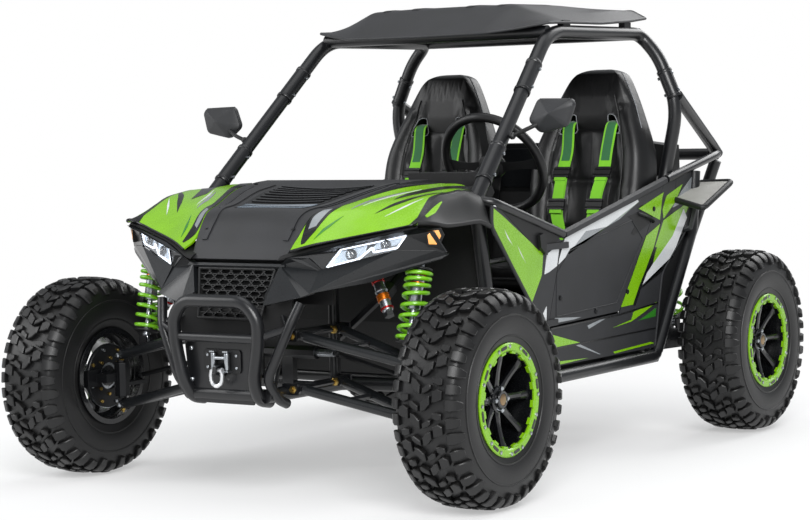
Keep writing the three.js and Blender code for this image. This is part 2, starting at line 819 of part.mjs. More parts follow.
// A shock in three pieces: the body and the rod, each with an eye and a perch, and the coil between.
const perchThickness = 6;
const perchStandoff = 28;
const shockNeckRadius = 14; // the collar round the rod's bore, between the upper eye and the perch
const coilSeat = 0.87; // how much of the wire's radius lies between its centre and its seat

function shockPieces(top, low, bodyLength, rodLength, curls, eyeAxis) {
  const direction = low.clone().sub(top).normalize();
  const along = (from, distance) => from.clone().addScaledVector(direction, distance);
  const eye = (centre, axis) => {
    const half = axis.clone().multiplyScalar(eyeHalfWidth);
    return rod(centre.clone().sub(half), centre.clone().add(half), shockEyeRadius, roundSides);
  };
  const perchRadius = springRadius + springWire / 2;
  const body = cut(
    join(
      eye(top, V(1, 0, 0)),
      rod(along(top, shockEyeRadius * 7 / 8), along(top, perchStandoff), shockNeckRadius),
      rod(along(top, perchStandoff - 1), along(top, bodyLength), shockBodyRadius),
      rod(along(top, perchStandoff - perchThickness), along(top, perchStandoff), perchRadius, roundSides),
    ),
    rod(
      along(top, shockEyeRadius + perchThickness / 2),
      along(top, bodyLength + overrun),
      boreRadius(shockRodRadius),
    ),
  );
  const piston = join(
    eye(low, eyeAxis),
    rod(along(low, -rodLength), low, shockRodRadius),
    rod(along(low, -perchStandoff), along(low, perchThickness - perchStandoff), perchRadius, roundSides),
  );
  const spring = coil(
    along(top, perchStandoff + springWire * coilSeat + seatGap),
    along(low, -perchStandoff - springWire * coilSeat - seatGap),
    springRadius,
    springWire,
    curls,
  );
  return { body, piston, spring };
}

const frontShockBody = 150;
const frontShockRod = 190;
const rearShockBody = 230;
const rearShockRod = 285;
const rearShockReach = 45; // how far the rear shock's lower eye lies before the axle
const rearShockRise = 58; // and how far over it
const rearShockLow = V(swingArmX, halfWheelbase - rearShockReach, axleHeight + rearShockRise);

const rackSolid = () => rod(
  V(-armInnerX + rackRadius + seatGap, rackY, tieRodInnerZ),
  V(armInnerX - rackRadius - seatGap, rackY, tieRodInnerZ),
  rackRadius,
  roundSides,
);
add("steering_rack", rackSolid(), zincSteel);

const frontLeft = {
  lower_arm: [armSolid(lowerBall, lowerInnerZ), blackTubing],
  upper_arm: [
    join(armSolid(upperBall, upperInnerZ), forkPlates(frontShockLow, shockEyeRise)),
    blackTubing,
  ],
  kingpin: [kingpinSolid(), zincSteel],
  knuckle: [knuckleSolid(), blackSteel],
  tie_rod: [tieRodSolid(), blackSteel],
};
const frontShock = shockPieces(
  frontShockTop,
  frontShockLow,
  frontShockBody,
  frontShockRod,
  frontCurls,
  V(0, 1, 0),
);
const rearShock = shockPieces(
  rearShockTop,
  rearShockLow,
  rearShockBody,
  rearShockRod,
  rearCurls,
  V(1, 0, 0),
);
for (const [side, turn] of [["left", (s) => s], ["right", flip]]) {
  for (const [piece, [solid, material]] of Object.entries(frontLeft)) {
    add("front_" + side + "_" + piece, turn(solid), material);
  }
  for (const [end, shock] of [["front", frontShock], ["rear", rearShock]]) {
    add(end + "_" + side + "_shock_body", turn(shock.body), castMetal);
    add(end + "_" + side + "_shock_rod", turn(shock.piston), brightSteel);
    add(end + "_" + side + "_spring", turn(shock.spring), limeSpring);
  }
}

// Rear swing arm with its sleeves, cross tube, axle bearings, chain and rear calipers
const bearingRadius = 36;
const bearingHalf = 20;
const beamX = 30;
const beamHalf = 9;
const frontSprocketRadius = 40;
const chainSteps = 6;
const crossTubeY = 640;
const rearAxle = V(0, halfWheelbase, axleHeight);

// A box beam along the swing arm between two places, given as y values.
function swingBeam(x, half, depth, from, to) {
  const z = (y) => swingPivotZ + ((axleHeight - swingPivotZ) * (y - swingPivotY)) / (rearAxle.y - swingPivotY);
  const ring = (y) => squareCorners.map(([a, b]) => V(x + a * half, y, z(y) + (b * depth) / 2));
  return toManifold(loft([ring(from), ring(to)]));
}

// The chain: a band round both sprockets, swept by its two radii.
function chainBand() {
  const centre = [V(0, swingPivotY, swingPivotZ), rearAxle];
  const outline = (grow) => {
    const points = [];
    for (const [c, radius, start] of [
      [centre[1], sprocketRadius, -90],
      [centre[0], frontSprocketRadius, 90],
    ]) {
      for (let k = 0; k <= chainSteps; k++) {
        const angle = rad(start + (180 * k) / chainSteps);
        points.push([c.y + (radius + grow) * Math.cos(angle), c.z + (radius + grow) * Math.sin(angle)]);
      }
    }
    return points;
  };
  const half = chainWidth / 2;
  return sidePlate(outline(chainWidth), sprocketX - half, sprocketX + half).subtract(
    sidePlate(outline(1), sprocketX - half - overrun, sprocketX + half + overrun),
  );
}

function swingArmSolid() {
  const sleeve = (from, to) =>
    rod(V(from, swingPivotY, swingPivotZ), V(to, swingPivotY, swingPivotZ), sleeveRadius, roundSides);
  const bearing = (x) =>
    rod(
      V(x - bearingHalf, rearAxle.y, rearAxle.z),
      V(x + bearingHalf, rearAxle.y, rearAxle.z),
      bearingRadius,
      roundSides,
    );
  const arm = join(
    sleeve(swingArmX - swingArmWidth, swingArmX + swingArmWidth),
    swingBeam(swingArmX, swingArmWidth / 2, swingArmDepth, swingPivotY, rearAxle.y),
    bearing(swingArmX),
    forkPlatesAlong(rearShockLow),
    rearCaliper(),
  );
  const crossZ = swingPivotZ + ((axleHeight - swingPivotZ) * (crossTubeY - swingPivotY)) / (rearAxle.y - swingPivotY);
  const bandEdge = sprocketRadius * 2 / 3;
  const guide = box(
    V(beamX, crossTubeY - chainWidth, crossZ - bandEdge - chainWidth * 2),
    V(sprocketX - chainWidth / 2 + 1, crossTubeY + chainWidth, crossZ + bandEdge + chainWidth * 2),
  );
  const axleRoom = rod(
    V(-halfTrack, rearAxle.y, rearAxle.z),
    V(halfTrack, rearAxle.y, rearAxle.z),
    boreRadius(axleRadius),
    roundSides,
  );
  const shaftRoom = rod(
    V(-bodyHalfWidth, swingPivotY, swingPivotZ),
    V(bodyHalfWidth, swingPivotY, swingPivotZ),
    boreRadius(pivotShaftRadius),
    roundSides,
  );
  return cut(
    join(
      bothSides(arm),
      rod(V(-swingArmX, crossTubeY, crossZ), V(swingArmX, crossTubeY, crossZ), smallTube),
      swingBeam(beamX, beamHalf, swingArmDepth, swingPivotY, rearAxle.y),
      sleeve(beamX - bearingHalf, beamX + beamHalf),
      rod(
        V(beamX - bearingHalf, rearAxle.y, rearAxle.z),
        V(beamX + beamHalf, rearAxle.y, rearAxle.z),
        bearingRadius,
        roundSides,
      ),
      guide,
      chainBand(),
    ),
    axleRoom,
    shaftRoom,
  );
}

function forkPlatesAlong(eye) {
  return [-1, 1].map((side) => {
    const near = eye.x + side * (eyeHalfWidth + seatGap);
    const far = near + side * earPlate;
    return box(
      V(Math.min(near, far), eye.y - shockEyeRadius, eye.z - shockEyeRadius * 3),
      V(Math.max(near, far), eye.y + shockEyeRadius, eye.z + shockEyeRadius),
    );
  });
}

function rearCaliper() {
  const wheelCentre = V(halfTrack, rearAxle.y, axleHeight);
  const { inner, outer, halfHeight, halfWidth } = caliperSize;
  const x = halfTrack + discOffset - halfWidth;
  return join(
    caliperSolid(wheelCentre, 1),
    box(
      V(swingArmX, rearAxle.y, axleHeight - halfHeight / 2),
      V(swingArmX + bearingHalf, rearAxle.y + outer - smallTube, axleHeight + halfHeight / 2),
    ),
    box(
      V(swingArmX, rearAxle.y + inner + smallTube, axleHeight - halfHeight / 2),
      V(x + smallTube / 2, rearAxle.y + outer - smallTube, axleHeight + halfHeight / 2),
    ),
  );
}
add("rear_swing_arm", swingArmSolid(), blackTubing);

// Rear axle with its sprocket and collars
const collarRadius = 30;
const collarWidth = 10;
const toothRadius = sprocketRadius - chainWidth / 4;

function axleSolid() {
  const collar = (x) => rod(
    V(x, rearAxle.y, rearAxle.z),
    V(x + collarWidth, rearAxle.y, rearAxle.z),
    collarRadius,
    roundSides,
  );
  const end = halfTrack + stubEnd;
  return join(
    rod(V(-end, rearAxle.y, rearAxle.z), V(end, rearAxle.y, rearAxle.z), axleRadius, roundSides),
    bothSides(collar(swingArmX + bearingHalf + seatGap)),
    turned(
      [
        [0, -chainWidth / 4],
        [toothRadius, -chainWidth / 4],
        [toothRadius, chainWidth / 4],
        [0, chainWidth / 4],
      ],
      V(sprocketX, rearAxle.y, rearAxle.z),
      treadSteps,
    ),
  );
}
add("rear_axle", axleSolid(), blackSteel);

// Wheels: outlines are [radius, x] pairs from the wheel's centre plane, outward side first positive
const barrelWall = 10;
const wheelHalf = tyreWidth / 2;
const beadHalf = 90;
const capDepth = 16;
const spokeThick = 16;
const spokeInner = 26;
const spokeOuter = 15;

function rimSolid() {
  const origin = V(0, 0, 0);
  const bead = rimRadius;
  const barrel = turned(
    [
      [bead - barrelWall, -ringFace],
      [bead, -ringFace],
      [bead, ringFace - barrelWall * 3 / 2],
      [ringRadius, ringFace],
      [bead - barrelWall, ringFace],
      [bead - barrelWall, -ringFace],
    ],
    origin,
    treadSteps,
  );
  const spokeX = ringFace - barrelWall * 4;
  const blade = toManifold(
    loft([
      squareCorners.map(([a, b]) => V(
        spokeX - spokeThick + b * spokeThick / 2,
        a * spokeInner / 2,
        hubRadius / 2,
      )),
      squareCorners.map(([a, b]) => V(
        spokeX + b * spokeThick / 2,
        a * spokeOuter / 2,
        bead - barrelWall / 2,
      )),
    ]),
  );
  const spokes = Array.from(
    { length: spokeCount },
    (_, k) => blade.rotate([(360 * k) / spokeCount, 0, 0]),
  );
  const hubBack = discOffset - discThickness - seatGap;
  const disc = turned(
    [
      [0, discOffset - discThickness / 2],
      [discRadius, discOffset - discThickness / 2],
      [discRadius, discOffset + discThickness / 2],
      [0, discOffset + discThickness / 2],
    ],
    origin,
    spokeCount,
  );
  const hub = turned(
    [[0, hubBack], [hubRadius, hubBack], [hubRadius, spokeX], [0, spokeX + capDepth]],
    origin,
    roundSides,
  );
  const bore = turned(
    [
      [0, hubBack - overrun],
      [boreRadius(axleRadius), hubBack - overrun],
      [boreRadius(axleRadius), stubEnd + seatGap],
      [0, stubEnd + seatGap],
    ],
    origin,
    roundSides,
  );
  return cut(join(barrel, spokes, disc, hub), bore);
}

const tyreWall = 16;
const lugWidth = 46;

function tyreSolid() {
  const tread = tyreDiameter / 2 - lugHeight;
  const bead = rimRadius + seatGap;
  const shoulder = (rimRadius + tread) / 2;
  const halfTread = tyreWidth * 0.404;
  const carcass = turned(
    [
      [bead, -beadHalf],
      [shoulder, -wheelHalf],
      [tread, -halfTread],
      [tread, halfTread],
      [shoulder, wheelHalf],
      [bead, beadHalf],
      [bead, beadHalf - tyreWall],
      [tread - tyreWall, halfTread],
      [tread - tyreWall, -halfTread],
      [bead, -beadHalf + tyreWall],
      [bead, -beadHalf],
    ],
    V(0, 0, 0),
    treadSteps,
  );
  const outline = [
    [-halfTread + lugHeight / 2, tyreDiameter / 2],
    [halfTread - lugHeight / 2, tyreDiameter / 2],
    [halfTread - lugHeight / 4, tread - lugHeight],
    [-halfTread + lugHeight / 4, tread - lugHeight],
  ];
  const ring = (y) => outline.map(([x, z]) => V(x, y, -z));
  const lug = toManifold(loft([ring(-lugWidth / 2), ring(lugWidth / 2)]));
  const lugs = Array.from({ length: treadSteps }, (_, k) => lug.rotate([(360 * k) / treadSteps, 0, 0]));
  return join(carcass, lugs);
}

const rim = rimSolid();
const tyre = tyreSolid();
for (const [end, y] of [["front", frontAxleY], ["rear", halfWheelbase]]) {
  for (const [side, turn, x] of [["left", (s) => s, halfTrack], ["right", flip, -halfTrack]]) {
    add(end + "_" + side + "_rim", turn(rim).translate([x, y, axleHeight]), rimPaint);
    add(end + "_" + side + "_tyre", turn(tyre).translate([x, y, axleHeight]), tyreRubber);
  }
}

// Body panels
const fenderShares = [
  [
    [0.348, -1.183, 0.515],
    [0.45, -1.142, 0.527],
    [0.567, -1.097, 0.536],
    [0.733, -1.045, 0.549],
    [0.883, -0.999, 0.561],
    [0.95, -1.01, 0.568],
  ],
  [
    [0.332, -1.128, 0.535],
    [0.437, -1.077, 0.557],
    [0.567, -1.016, 0.571],
    [0.733, -0.964, 0.581],
    [0.887, -0.931, 0.587],
    [0.993, -0.96, 0.567],
  ],
  [
    [0.358, -1.047, 0.584],
    [0.453, -1, 0.589],
    [0.575, -0.931, 0.6],
    [0.733, -0.877, 0.608],
    [0.9, -0.844, 0.611],
    [1.002, -0.874, 0.56],
  ],
  [
    [0.418, -0.929, 0.601],
    [0.492, -0.874, 0.611],
    [0.6, -0.809, 0.617],
    [0.753, -0.767, 0.621],
    [0.92, -0.754, 0.617],
    [1.005, -0.765, 0.561],
  ],
  [
    [0.495, -0.765, 0.628],
    [0.553, -0.732, 0.631],
    [0.65, -0.689, 0.631],
    [0.777, -0.669, 0.629],
    [0.937, -0.68, 0.619],
    [1.005, -0.678, 0.561],
  ],
  [
    [0.517, -0.645, 0.64],
    [0.587, -0.612, 0.639],
    [0.683, -0.581, 0.637],
    [0.8, -0.56, 0.632],
    [0.943, -0.599, 0.604],
    [1.005, -0.612, 0.549],
  ],
];
const fenderGrid = fenderShares.map(route);
const fender = cut(sheet(fenderGrid, panelThickness), cageRoom, chassisRoom);
add("front_left_fender", fender, limePlastic);
add("front_right_fender", flip(fender), limePlastic);

// Each hood row: the height on the centre line and at two thirds of the way out, before the fender's edge.
const hoodNoseShares = [[0.3, -1.176, 0.495], [0.327, -1.121, 0.537]];
const hoodRearShare = [0.55, -0.522, 0.644];
const hoodCrownShares = [0, 0.002, 0.003, -0.002, -0.006, -0.008, 0];
const louvreCount = 3;
const louvreLength = 210;
const louvreWidth = 14;
const louvreStartY = -800;
const louvrePitch = 36;
const louvreLowZ = axleHeight * 2; // the slots are cut down to this height, well under the hood

const hoodStayRow = 3;
const hoodStayRadius = 7;

function hoodSolid() {
  const edge = [
    at(hoodNoseShares[0]),
    at(hoodNoseShares[1]).setX(fenderGrid[1][0].x - panelGap),
    ...fenderGrid.slice(2).map((row) => row[0].clone().sub(V(panelGap, 0, 0))),
    at(hoodRearShare),
  ];
  const grid = edge.map((p, r) => {
    const crown = hoodCrownShares[Math.min(r, hoodCrownShares.length - 1)] * cageHeight;
    return [-1, -1 / 2, 0, 1 / 2, 1].map((share) =>
      V(p.x * share, p.y, p.z + crown * (1 - share * share) * 2),
    );
  });
  const slots = Array.from({ length: louvreCount }, (_, k) => {
    const y = louvreStartY + k * louvrePitch;
    const half = louvreLength / 2 + k * louvreWidth;
    return box(V(-half, y, louvreLowZ), V(half, y + louvreWidth, cageHeight));
  });
  const stays = [grid[hoodStayRow][1], grid[hoodStayRow][3]].map((p) =>
    rod(
      p.clone().sub(V(0, 0, panelThickness / 2)),
      V(p.x, shockTopY, towerTubeZ),
      hoodStayRadius,
      hiddenSides,
    ),
  );
  return cut(join(sheet(grid, panelThickness).subtract(join(slots)), stays), cageRoom, chassisRoom);
}
add("hood", hoodSolid(), charcoalPlastic);

// Headlights and the black fascia round them
const lampShares = [
  [0.493, -1.134, 0.475],
  [0.56, -1.095, 0.517],
  [0.883, -0.997, 0.544],
  [0.833, -1.019, 0.511],
];
const lampDepth = 40;
const lampOutline = route(lampShares);
const lamp = slab(lampOutline, V(0, lampDepth, 0));
const lampCentre = lampOutline.reduce((sum, p) => sum.add(p), V(0, 0, 0)).divideScalar(lampOutline.length);
const lampRoom = slab(
  lampOutline.map((p) => {
    const outwards = p.clone().sub(lampCentre).normalize();
    return p.clone().addScaledVector(outwards, 1 + seatGap).sub(V(0, lampDepth, 0));
  }),
  V(0, lampDepth * 3, 0),
);
add("headlight_left", lamp, lensPlastic);
add("headlight_right", flip(lamp), lensPlastic);

const fangShares = [
  [0.283, -1.183, 0.484],
  [0.343, -1.193, 0.5],
  [0.437, -1.161, 0.499],
  [0.5, -1.13, 0.471],
  [0.485, -1.202, 0.428],
  [0.465, -1.233, 0.423],
  [0.27, -1.271, 0.406],
  [0.23, -1.224, 0.427],
];
const browShares = [
  [0.343, -1.191, 0.5],
  [0.557, -1.106, 0.524],
  [0.883, -1.01, 0.549],
  [0.947, -1.019, 0.556],
  [0.993, -0.968, 0.552],
  [0.883, -0.989, 0.533],
  [0.557, -1.093, 0.51],
  [0.493, -1.13, 0.469],
];
const wingShares = [
  [0.48, -1.202, 0.429],
  [0.483, -1.137, 0.475],
  [0.833, -1.025, 0.512],
  [0.99, -0.946, 0.509],
  [1.037, -0.916, 0.501],
  [1.01, -0.931, 0.492],
  [0.717, -1.075, 0.448],
];
const cheekShares = [
  [0.877, -1.005, 0.541],
  [0.943, -1.016, 0.553],
  [0.997, -0.964, 0.549],
  [1.03, -0.92, 0.505],
  [0.983, -0.942, 0.501],
  [0.833, -1.021, 0.509],
];
const fasciaDepth = 26;
const wingDepth = 8;
const grilleTopShare = [0.25, -1.18, 0.477];
const grilleLowShare = [0.203, -1.231, 0.373];
const grilleDepth = 8;
const frameBar = 16;
const hexRows = 4;
const hexAcross = 4;
const hexWall = 5;

function grillePlane(side, up) {
  const top = at(grilleTopShare);
  const low = at(grilleLowShare);
  return V(
    THREE.MathUtils.lerp(low.x, top.x, up) * side,
    THREE.MathUtils.lerp(low.y, top.y, up),
    THREE.MathUtils.lerp(low.z, top.z, up),
  );
}

function fasciaSolid() {
  const depth = V(0, fasciaDepth, 0);
  const thin = V(0, wingDepth, 0);
  const left = join(
    slab(route(fangShares), depth),
    slab(route(browShares), depth),
    slab(route(wingShares), thin),
    slab(route(cheekShares), thin),
  );
  const across = (up) => rod(
    grillePlane(-1 - 1 / 4, up),
    grillePlane(1 + 1 / 4, up),
    frameBar / 2,
    hiddenSides,
  );
  const stay = rod(
    grillePlane(1, 1 + 1 / 24),
    V(grillePlane(1, 1).x, at(upperFrontShares[2]).y, at(upperFrontShares[2]).z),
    frameBar / 2,
    hiddenSides,
  );
  return cut(
    join(bothSides(left), across(1 + 1 / 24), bothSides(stay)),
    bothSides(lampRoom),
    chassisRoom,
    cageRoom,
    hoodRoom,
    bothSides(fenderRoom),
  );
}

// The grille: a leaning plate pierced by rows of six-sided holes
function grilleSolid() {
  const inset = 1 - 1 / 96;
  const outline = [
    grillePlane(-inset, 0),
    grillePlane(inset, 0),
    grillePlane(inset, inset),
    grillePlane(-inset, inset),
  ];
  const depth = V(0, grilleDepth, 0);
  const holes = [];
  for (let row = 0; row < hexRows; row++) {
    const up = (row + 1 / 2) / hexRows;
    const half = grillePlane(inset, up).x - frameBar / 2;
    const pitch = (half * 2) / (hexAcross + 1 / 2);
    const height = (grillePlane(0, 1).z - grillePlane(0, 0).z) / hexRows;
    for (let k = 0; k < hexAcross; k++) {
      const x = -half + pitch * (k + 1 / 2 + (row % 2) / 2);
      const centre = grillePlane(0, up);
      const [halfX, halfZ] = [(pitch - hexWall) / 2, (height - hexWall) / 2];
      const ring = [[-1, 0], [-1 / 2, -1], [1 / 2, -1], [1, 0], [1 / 2, 1], [-1 / 2, 1]].map(([a, b]) =>
        V(x + a * halfX, centre.y - grilleDepth * 2, centre.z + b * halfZ),
      );
      holes.push(slab(ring, V(0, grilleDepth * 5, 0)));
    }
  }
  return cut(slab(outline, depth), holes, fasciaRoom);
}

const roomGrid = (grid) => grid.map((row) => row.map((p) => p.clone().add(V(0, 0, seatGap))));
const fenderRoom = sheet(roomGrid(fenderGrid), panelThickness + 2 * seatGap);
const hoodRoom = hoodSolid().translate([0, 0, -seatGap]).add(hoodSolid().translate([0, 0, seatGap]));
const fascia = fasciaSolid();
const fasciaRoom = join(
  fascia,
  [
    [1, 0, 0],
    [-1, 0, 0],
    [0, 1, 0],
    [0, -1, 0],
    [0, 0, 1],
    [0, 0, -1],
  ].map((d) => fascia.translate(d.map((n) => n * seatGap))),
);
add("front_fascia", fascia, meshPlastic);
add("grille", grilleSolid(), meshPlastic);

// Side panels: cowl, rocker and rear quarter in one moulding, with the rear mudguard on its strut
const sideShares = [
  [0, -0.596, 0.592],
  [0, -0.114, 0.501],
  [0, -0.225, 0.308],
  [0, -0.197, 0.309],
  [0, 0.319, 0.316],
  [0, 0.71, 0.611],
  [0, 0.957, 0.639],
  [0, 0.949, 0.561],
  [0, 0.898, 0.494],
  [0, 0.68, 0.397],
  [0, 0.608, 0.22],
  [0, -0.164, 0.224],
  [0, -0.208, 0.294],
  [0, -0.348, 0.377],
  [0, -0.505, 0.484],
  [0, -0.596, 0.545],
];
const mudguardShares = [
  [0.987, 0.803, 0.568],
  [0.987, 1.049, 0.603],
  [1.207, 1.036, 0.606],
  [1.207, 0.772, 0.548],
];
const mudguardThick = 7;
const strutShares = [[0.995, 0.874, 0.49], [1.067, 0.842, 0.497], [1.107, 0.847, 0.557]];
const doorShares = [
  [0, -0.109, 0.499],
  [0, -0.221, 0.312],
  [0, -0.195, 0.315],
  [0, 0.317, 0.321],
  [0, 0.706, 0.609],
];
const doorHingeY = -224;
const doorHingeX = 608;
const strapLap = 1; // how far a strap and the panel reach into each other
const hingeRadius = 7;
const hingeZShares = [0.32, 0.487];

const outlineOf = (shares) => shares.map((s) => [at(s).y, at(s).z]);
const sideOutline = sidePlate(outlineOf(sideShares), bodyHalfWidth - panelThickness, bodyHalfWidth);

function sidePanelSolid() {
  const guard = slab(route(mudguardShares), V(0, 0, -mudguardThick));
  const hinges = hingeZShares.map((share) => {
    const z = share * cageHeight;
    const low = V(doorHingeX, doorHingeY, z - hingeRadius * 3);
    return join(
      rod(low, V(doorHingeX, doorHingeY, z - hingeRadius), hingeRadius),
      box(
        V(bodyHalfWidth - 1, doorHingeY - hingeRadius, low.z),
        V(doorHingeX, doorHingeY + hingeRadius, z - hingeRadius),
      ),
    );
  });
  return cut(
    join(
      sideOutline,
      guard,
      bar(route(strutShares), smallTube * 2 / 3, hiddenSides),
      hinges,
    ),
    cageRoom,
    chassisRoom,
  );
}
const sidePanel = sidePanelSolid();
add("side_panel_left", sidePanel, charcoalPlastic);
add("side_panel_right", flip(sidePanel), charcoalPlastic);

// Doors: a panel under its own stretch of belt tube, on two hinge straps, with a recessed handle
const doorTubeShares = [[0.998, -0.096, 0.513], [0.998, 0.713, 0.615]];
const strapHeight = 28;
const handleShares = [[0, 0.47, 0.517], [0, 0.601, 0.561]];

function doorSolid() {
  const outline = outlineOf(doorShares);
  const tube = route(doorTubeShares);
  // The lower strap ends past the door's low front corner, and the upper one past its belt corner.
  const hinges = [
    [hingeZShares[0], doorShares[2]],
    [hingeZShares[1], doorShares[0]],
  ].map(([share, corner]) => {
    const low = share * cageHeight - hingeRadius + seatGap;
    const high = share * cageHeight + hingeRadius * 2;
    const end = at(corner).y + strapHeight;
    return join(
      rod(V(doorHingeX, doorHingeY, low), V(doorHingeX, doorHingeY, high), hingeRadius),
      box(V(bodyHalfWidth + seatGap, doorHingeY, low), V(doorHingeX + strapLap, end, high)),
      box(V(bodyHalfWidth - strapLap, end - strapHeight * 2 / 3, low), V(doorHingeX, end, high)),
    );
  });
  const [handleLow, handleHigh] = route(handleShares);
  const recess = box(
    V(bodyHalfWidth - panelThickness / 2, handleLow.y, handleLow.z),
    V(bodyHalfWidth + overrun, handleHigh.y, handleHigh.z),
  );
  const link = sidePlate(
    [
      [tube[0].y, tube[0].z - railTube],
      [tube[1].y, tube[1].z - railTube],
      [tube[1].y, tube[1].z],
      [tube[0].y, tube[0].z],
    ],
    bodyHalfWidth - panelThickness,
    bodyHalfWidth,
  );
  const panel = sidePlate(outline, bodyHalfWidth - panelThickness, bodyHalfWidth).subtract(recess);
  return cut(join(panel, link, rod(tube[0], tube[1], railTube), hinges), doorRoom);
}
const doorRoom = join(
  cageRoom,
  chassisRoom,
  sidePanel,
  sidePanel.translate([0, 0, seatGap]),
  sidePanel.translate([0, seatGap, 0]),
  sidePanel.translate([0, -seatGap, 0]),
  sidePanel.translate([0, 0, -seatGap]),
);
const door = doorSolid();
add("door_left", door, charcoalPlastic);
add("door_right", flip(door), charcoalPlastic);

// Roof
const roofShares = [
  [
    [0, -0.055, 0.965],
    [0.233, -0.055, 0.966],
    [0.455, -0.051, 0.967],
    [0.62, 0, 0.975],
    [0.79, 0.059, 0.987],
  ],
  [
    [0, 0.049, 1.001],
    [0.242, 0.049, 1.001],
    [0.477, 0.051, 1.001],
    [0.637, 0.087, 0.995],
    [0.793, 0.114, 0.988],
  ],
  [
    [0, 0.151, 1.035],
    [0.25, 0.151, 1.035],
    [0.5, 0.151, 1.033],
    [0.653, 0.175, 1.011],
    [0.795, 0.197, 0.989],
  ],
  [
    [0, 0.459, 1.04],
    [0.258, 0.459, 1.04],
    [0.517, 0.459, 1.036],
    [0.667, 0.459, 1.012],
    [0.797, 0.459, 0.991],
  ],
  [
    [0, 0.699, 1.033],
    [0.267, 0.699, 1.033],
    [0.53, 0.699, 1.032],
    [0.673, 0.699, 1.027],
    [0.79, 0.71, 1],
  ],
  [
    [0, 0.863, 1.021],
    [0.27, 0.863, 1.021],
    [0.537, 0.858, 1.027],
    [0.68, 0.852, 1.028],
    [0.787, 0.836, 1.008],
  ],
];

function roofSolid() {
  const half = roofShares.map(route);
  const grid = half.map((row) => [...row.slice(1).reverse().map(mirrorX), ...row]);
  const padHalf = cageTube / 2;
  const rail = route(cageHoopShares);
  const pads = [1, 5].map((sixths) => {
    const p = rail[1].clone().lerp(rail[2], sixths / 6);
    const top = p.z + cageTube * 2 + panelThickness / 2 - padHalf + (sixths > 3 ? padHalf : 0);
    return box(V(p.x - padHalf, p.y - cageTube, p.z), V(p.x + padHalf, p.y + cageTube, top));
  });
  return cut(join(sheet(grid, panelThickness), bothSides(join(pads))), cageRoom);
}
add("roof_panel", roofSolid(), charcoalPlastic);

// Cockpit tub: floor, toe board, firewall, seat riser and rear bulkhead as one bent sheet, with the dash
const tubHalf = 512;
const tubThick = 5;
const tubShares = [
  [0, -0.529, 0.603],
  [0, -0.529, 0.333],
  [0, -0.459, 0.215],
  [0, 0.033, 0.215],
  [0, 0.057, 0.337],
  [0, 0.464, 0.337],
  [0, 0.699, 0.383],
  [0, 0.754, 0.587],
];
const dashShares = [
  [0, -0.531, 0.584],
  [0, -0.531, 0.603],
  [0, -0.522, 0.625],
  [0, -0.361, 0.631],
  [0, -0.339, 0.612],
  [0, -0.383, 0.587],
];
const binnacleShares = [[0.367, -0.481, 0.624], [0.717, -0.361, 0.657]];
const columnRoomRadius = 24;
const dashHalf = 470;
const pedalPivotShare = [0, -0.472, 0.373];
const pedalPlate = 6;
const pedalHalf = 9;
const pedalShares = { throttle: 0.433, brake: 0.6 };
const pedalPinRadius = 6;
const pedalRise = 22;

function tubSolid() {
  const line = tubShares.map((s) => new THREE.Vector2(at(s).y, at(s).z));
  const lower = line.map((p, i) => {
    const before = line[Math.max(i - 1, 0)];
    const after = line[Math.min(i + 1, line.length - 1)];
    const a = p.clone().sub(before);
    const b = after.clone().sub(p);
    const heading = (i === 0 ? b : i === line.length - 1 ? a : a.normalize().add(b.normalize())).normalize();
    const lean = i === 0 || i === line.length - 1 ? 1 : Math.max(heading.dot(b.clone().normalize()), 1 / 2);
    return new THREE.Vector2(p.x + (heading.y * tubThick) / lean, p.y - (heading.x * tubThick) / lean);
  });
  const outline = [...line, ...lower.reverse()].map((p) => [p.x, p.y]);
  const dash = sidePlate(outlineOf(dashShares), -dashHalf, dashHalf);
  const [low, high] = route(binnacleShares);
  const pivot = at(pedalPivotShare);
  const ears = Object.values(pedalShares).map((share) => {
    const x = share * bodyHalfWidth;
    const near = x + pedalHalf + seatGap;
    return box(
      V(near, at(tubShares[0]).y, pivot.z - pedalRise / 2),
      V(near + pedalPlate, pivot.y + pedalPinRadius * 2, pivot.z + pedalRise / 2),
    );
  });
  return cut(
    join(sidePlate(outline, -tubHalf, tubHalf), dash, box(low, high), ears),
    rod(columnEnd, steeringCentre, columnRoomRadius, roundSides),
    cageRoom,
    chassisRoom,
    hoodRoom,
    bothSides(fenderRoom),
  );
}
add("cockpit_tub", tubSolid(), tubPlastic);

function pedalSolid(x) {
  const pivot = at(pedalPivotShare).setX(x);
  const half = V(pedalHalf, 0, 0);
  const padTop = pivot.clone().add(V(0, pedalRise * 3, -pedalRise * 5));
  return join(
    rod(pivot.clone().sub(half), pivot.clone().add(half), pedalPinRadius * 2, roundSides),
    rod(pivot, padTop.clone().add(V(0, 0, pedalRise)), pedalPinRadius),
    box(
      padTop.clone().sub(V(pedalRise, pedalPlate, pedalRise)),
      padTop.clone().add(V(pedalRise, pedalPlate, pedalRise * 3 / 2)),
    ),
  );
}
for (const [name, share] of Object.entries(pedalShares)) {
  add(name + "_pedal", pedalSolid(share * bodyHalfWidth), castMetal);
}

// Steering wheel with its column
const wheelTubeSides = 5;
const wheelSteps = 11;

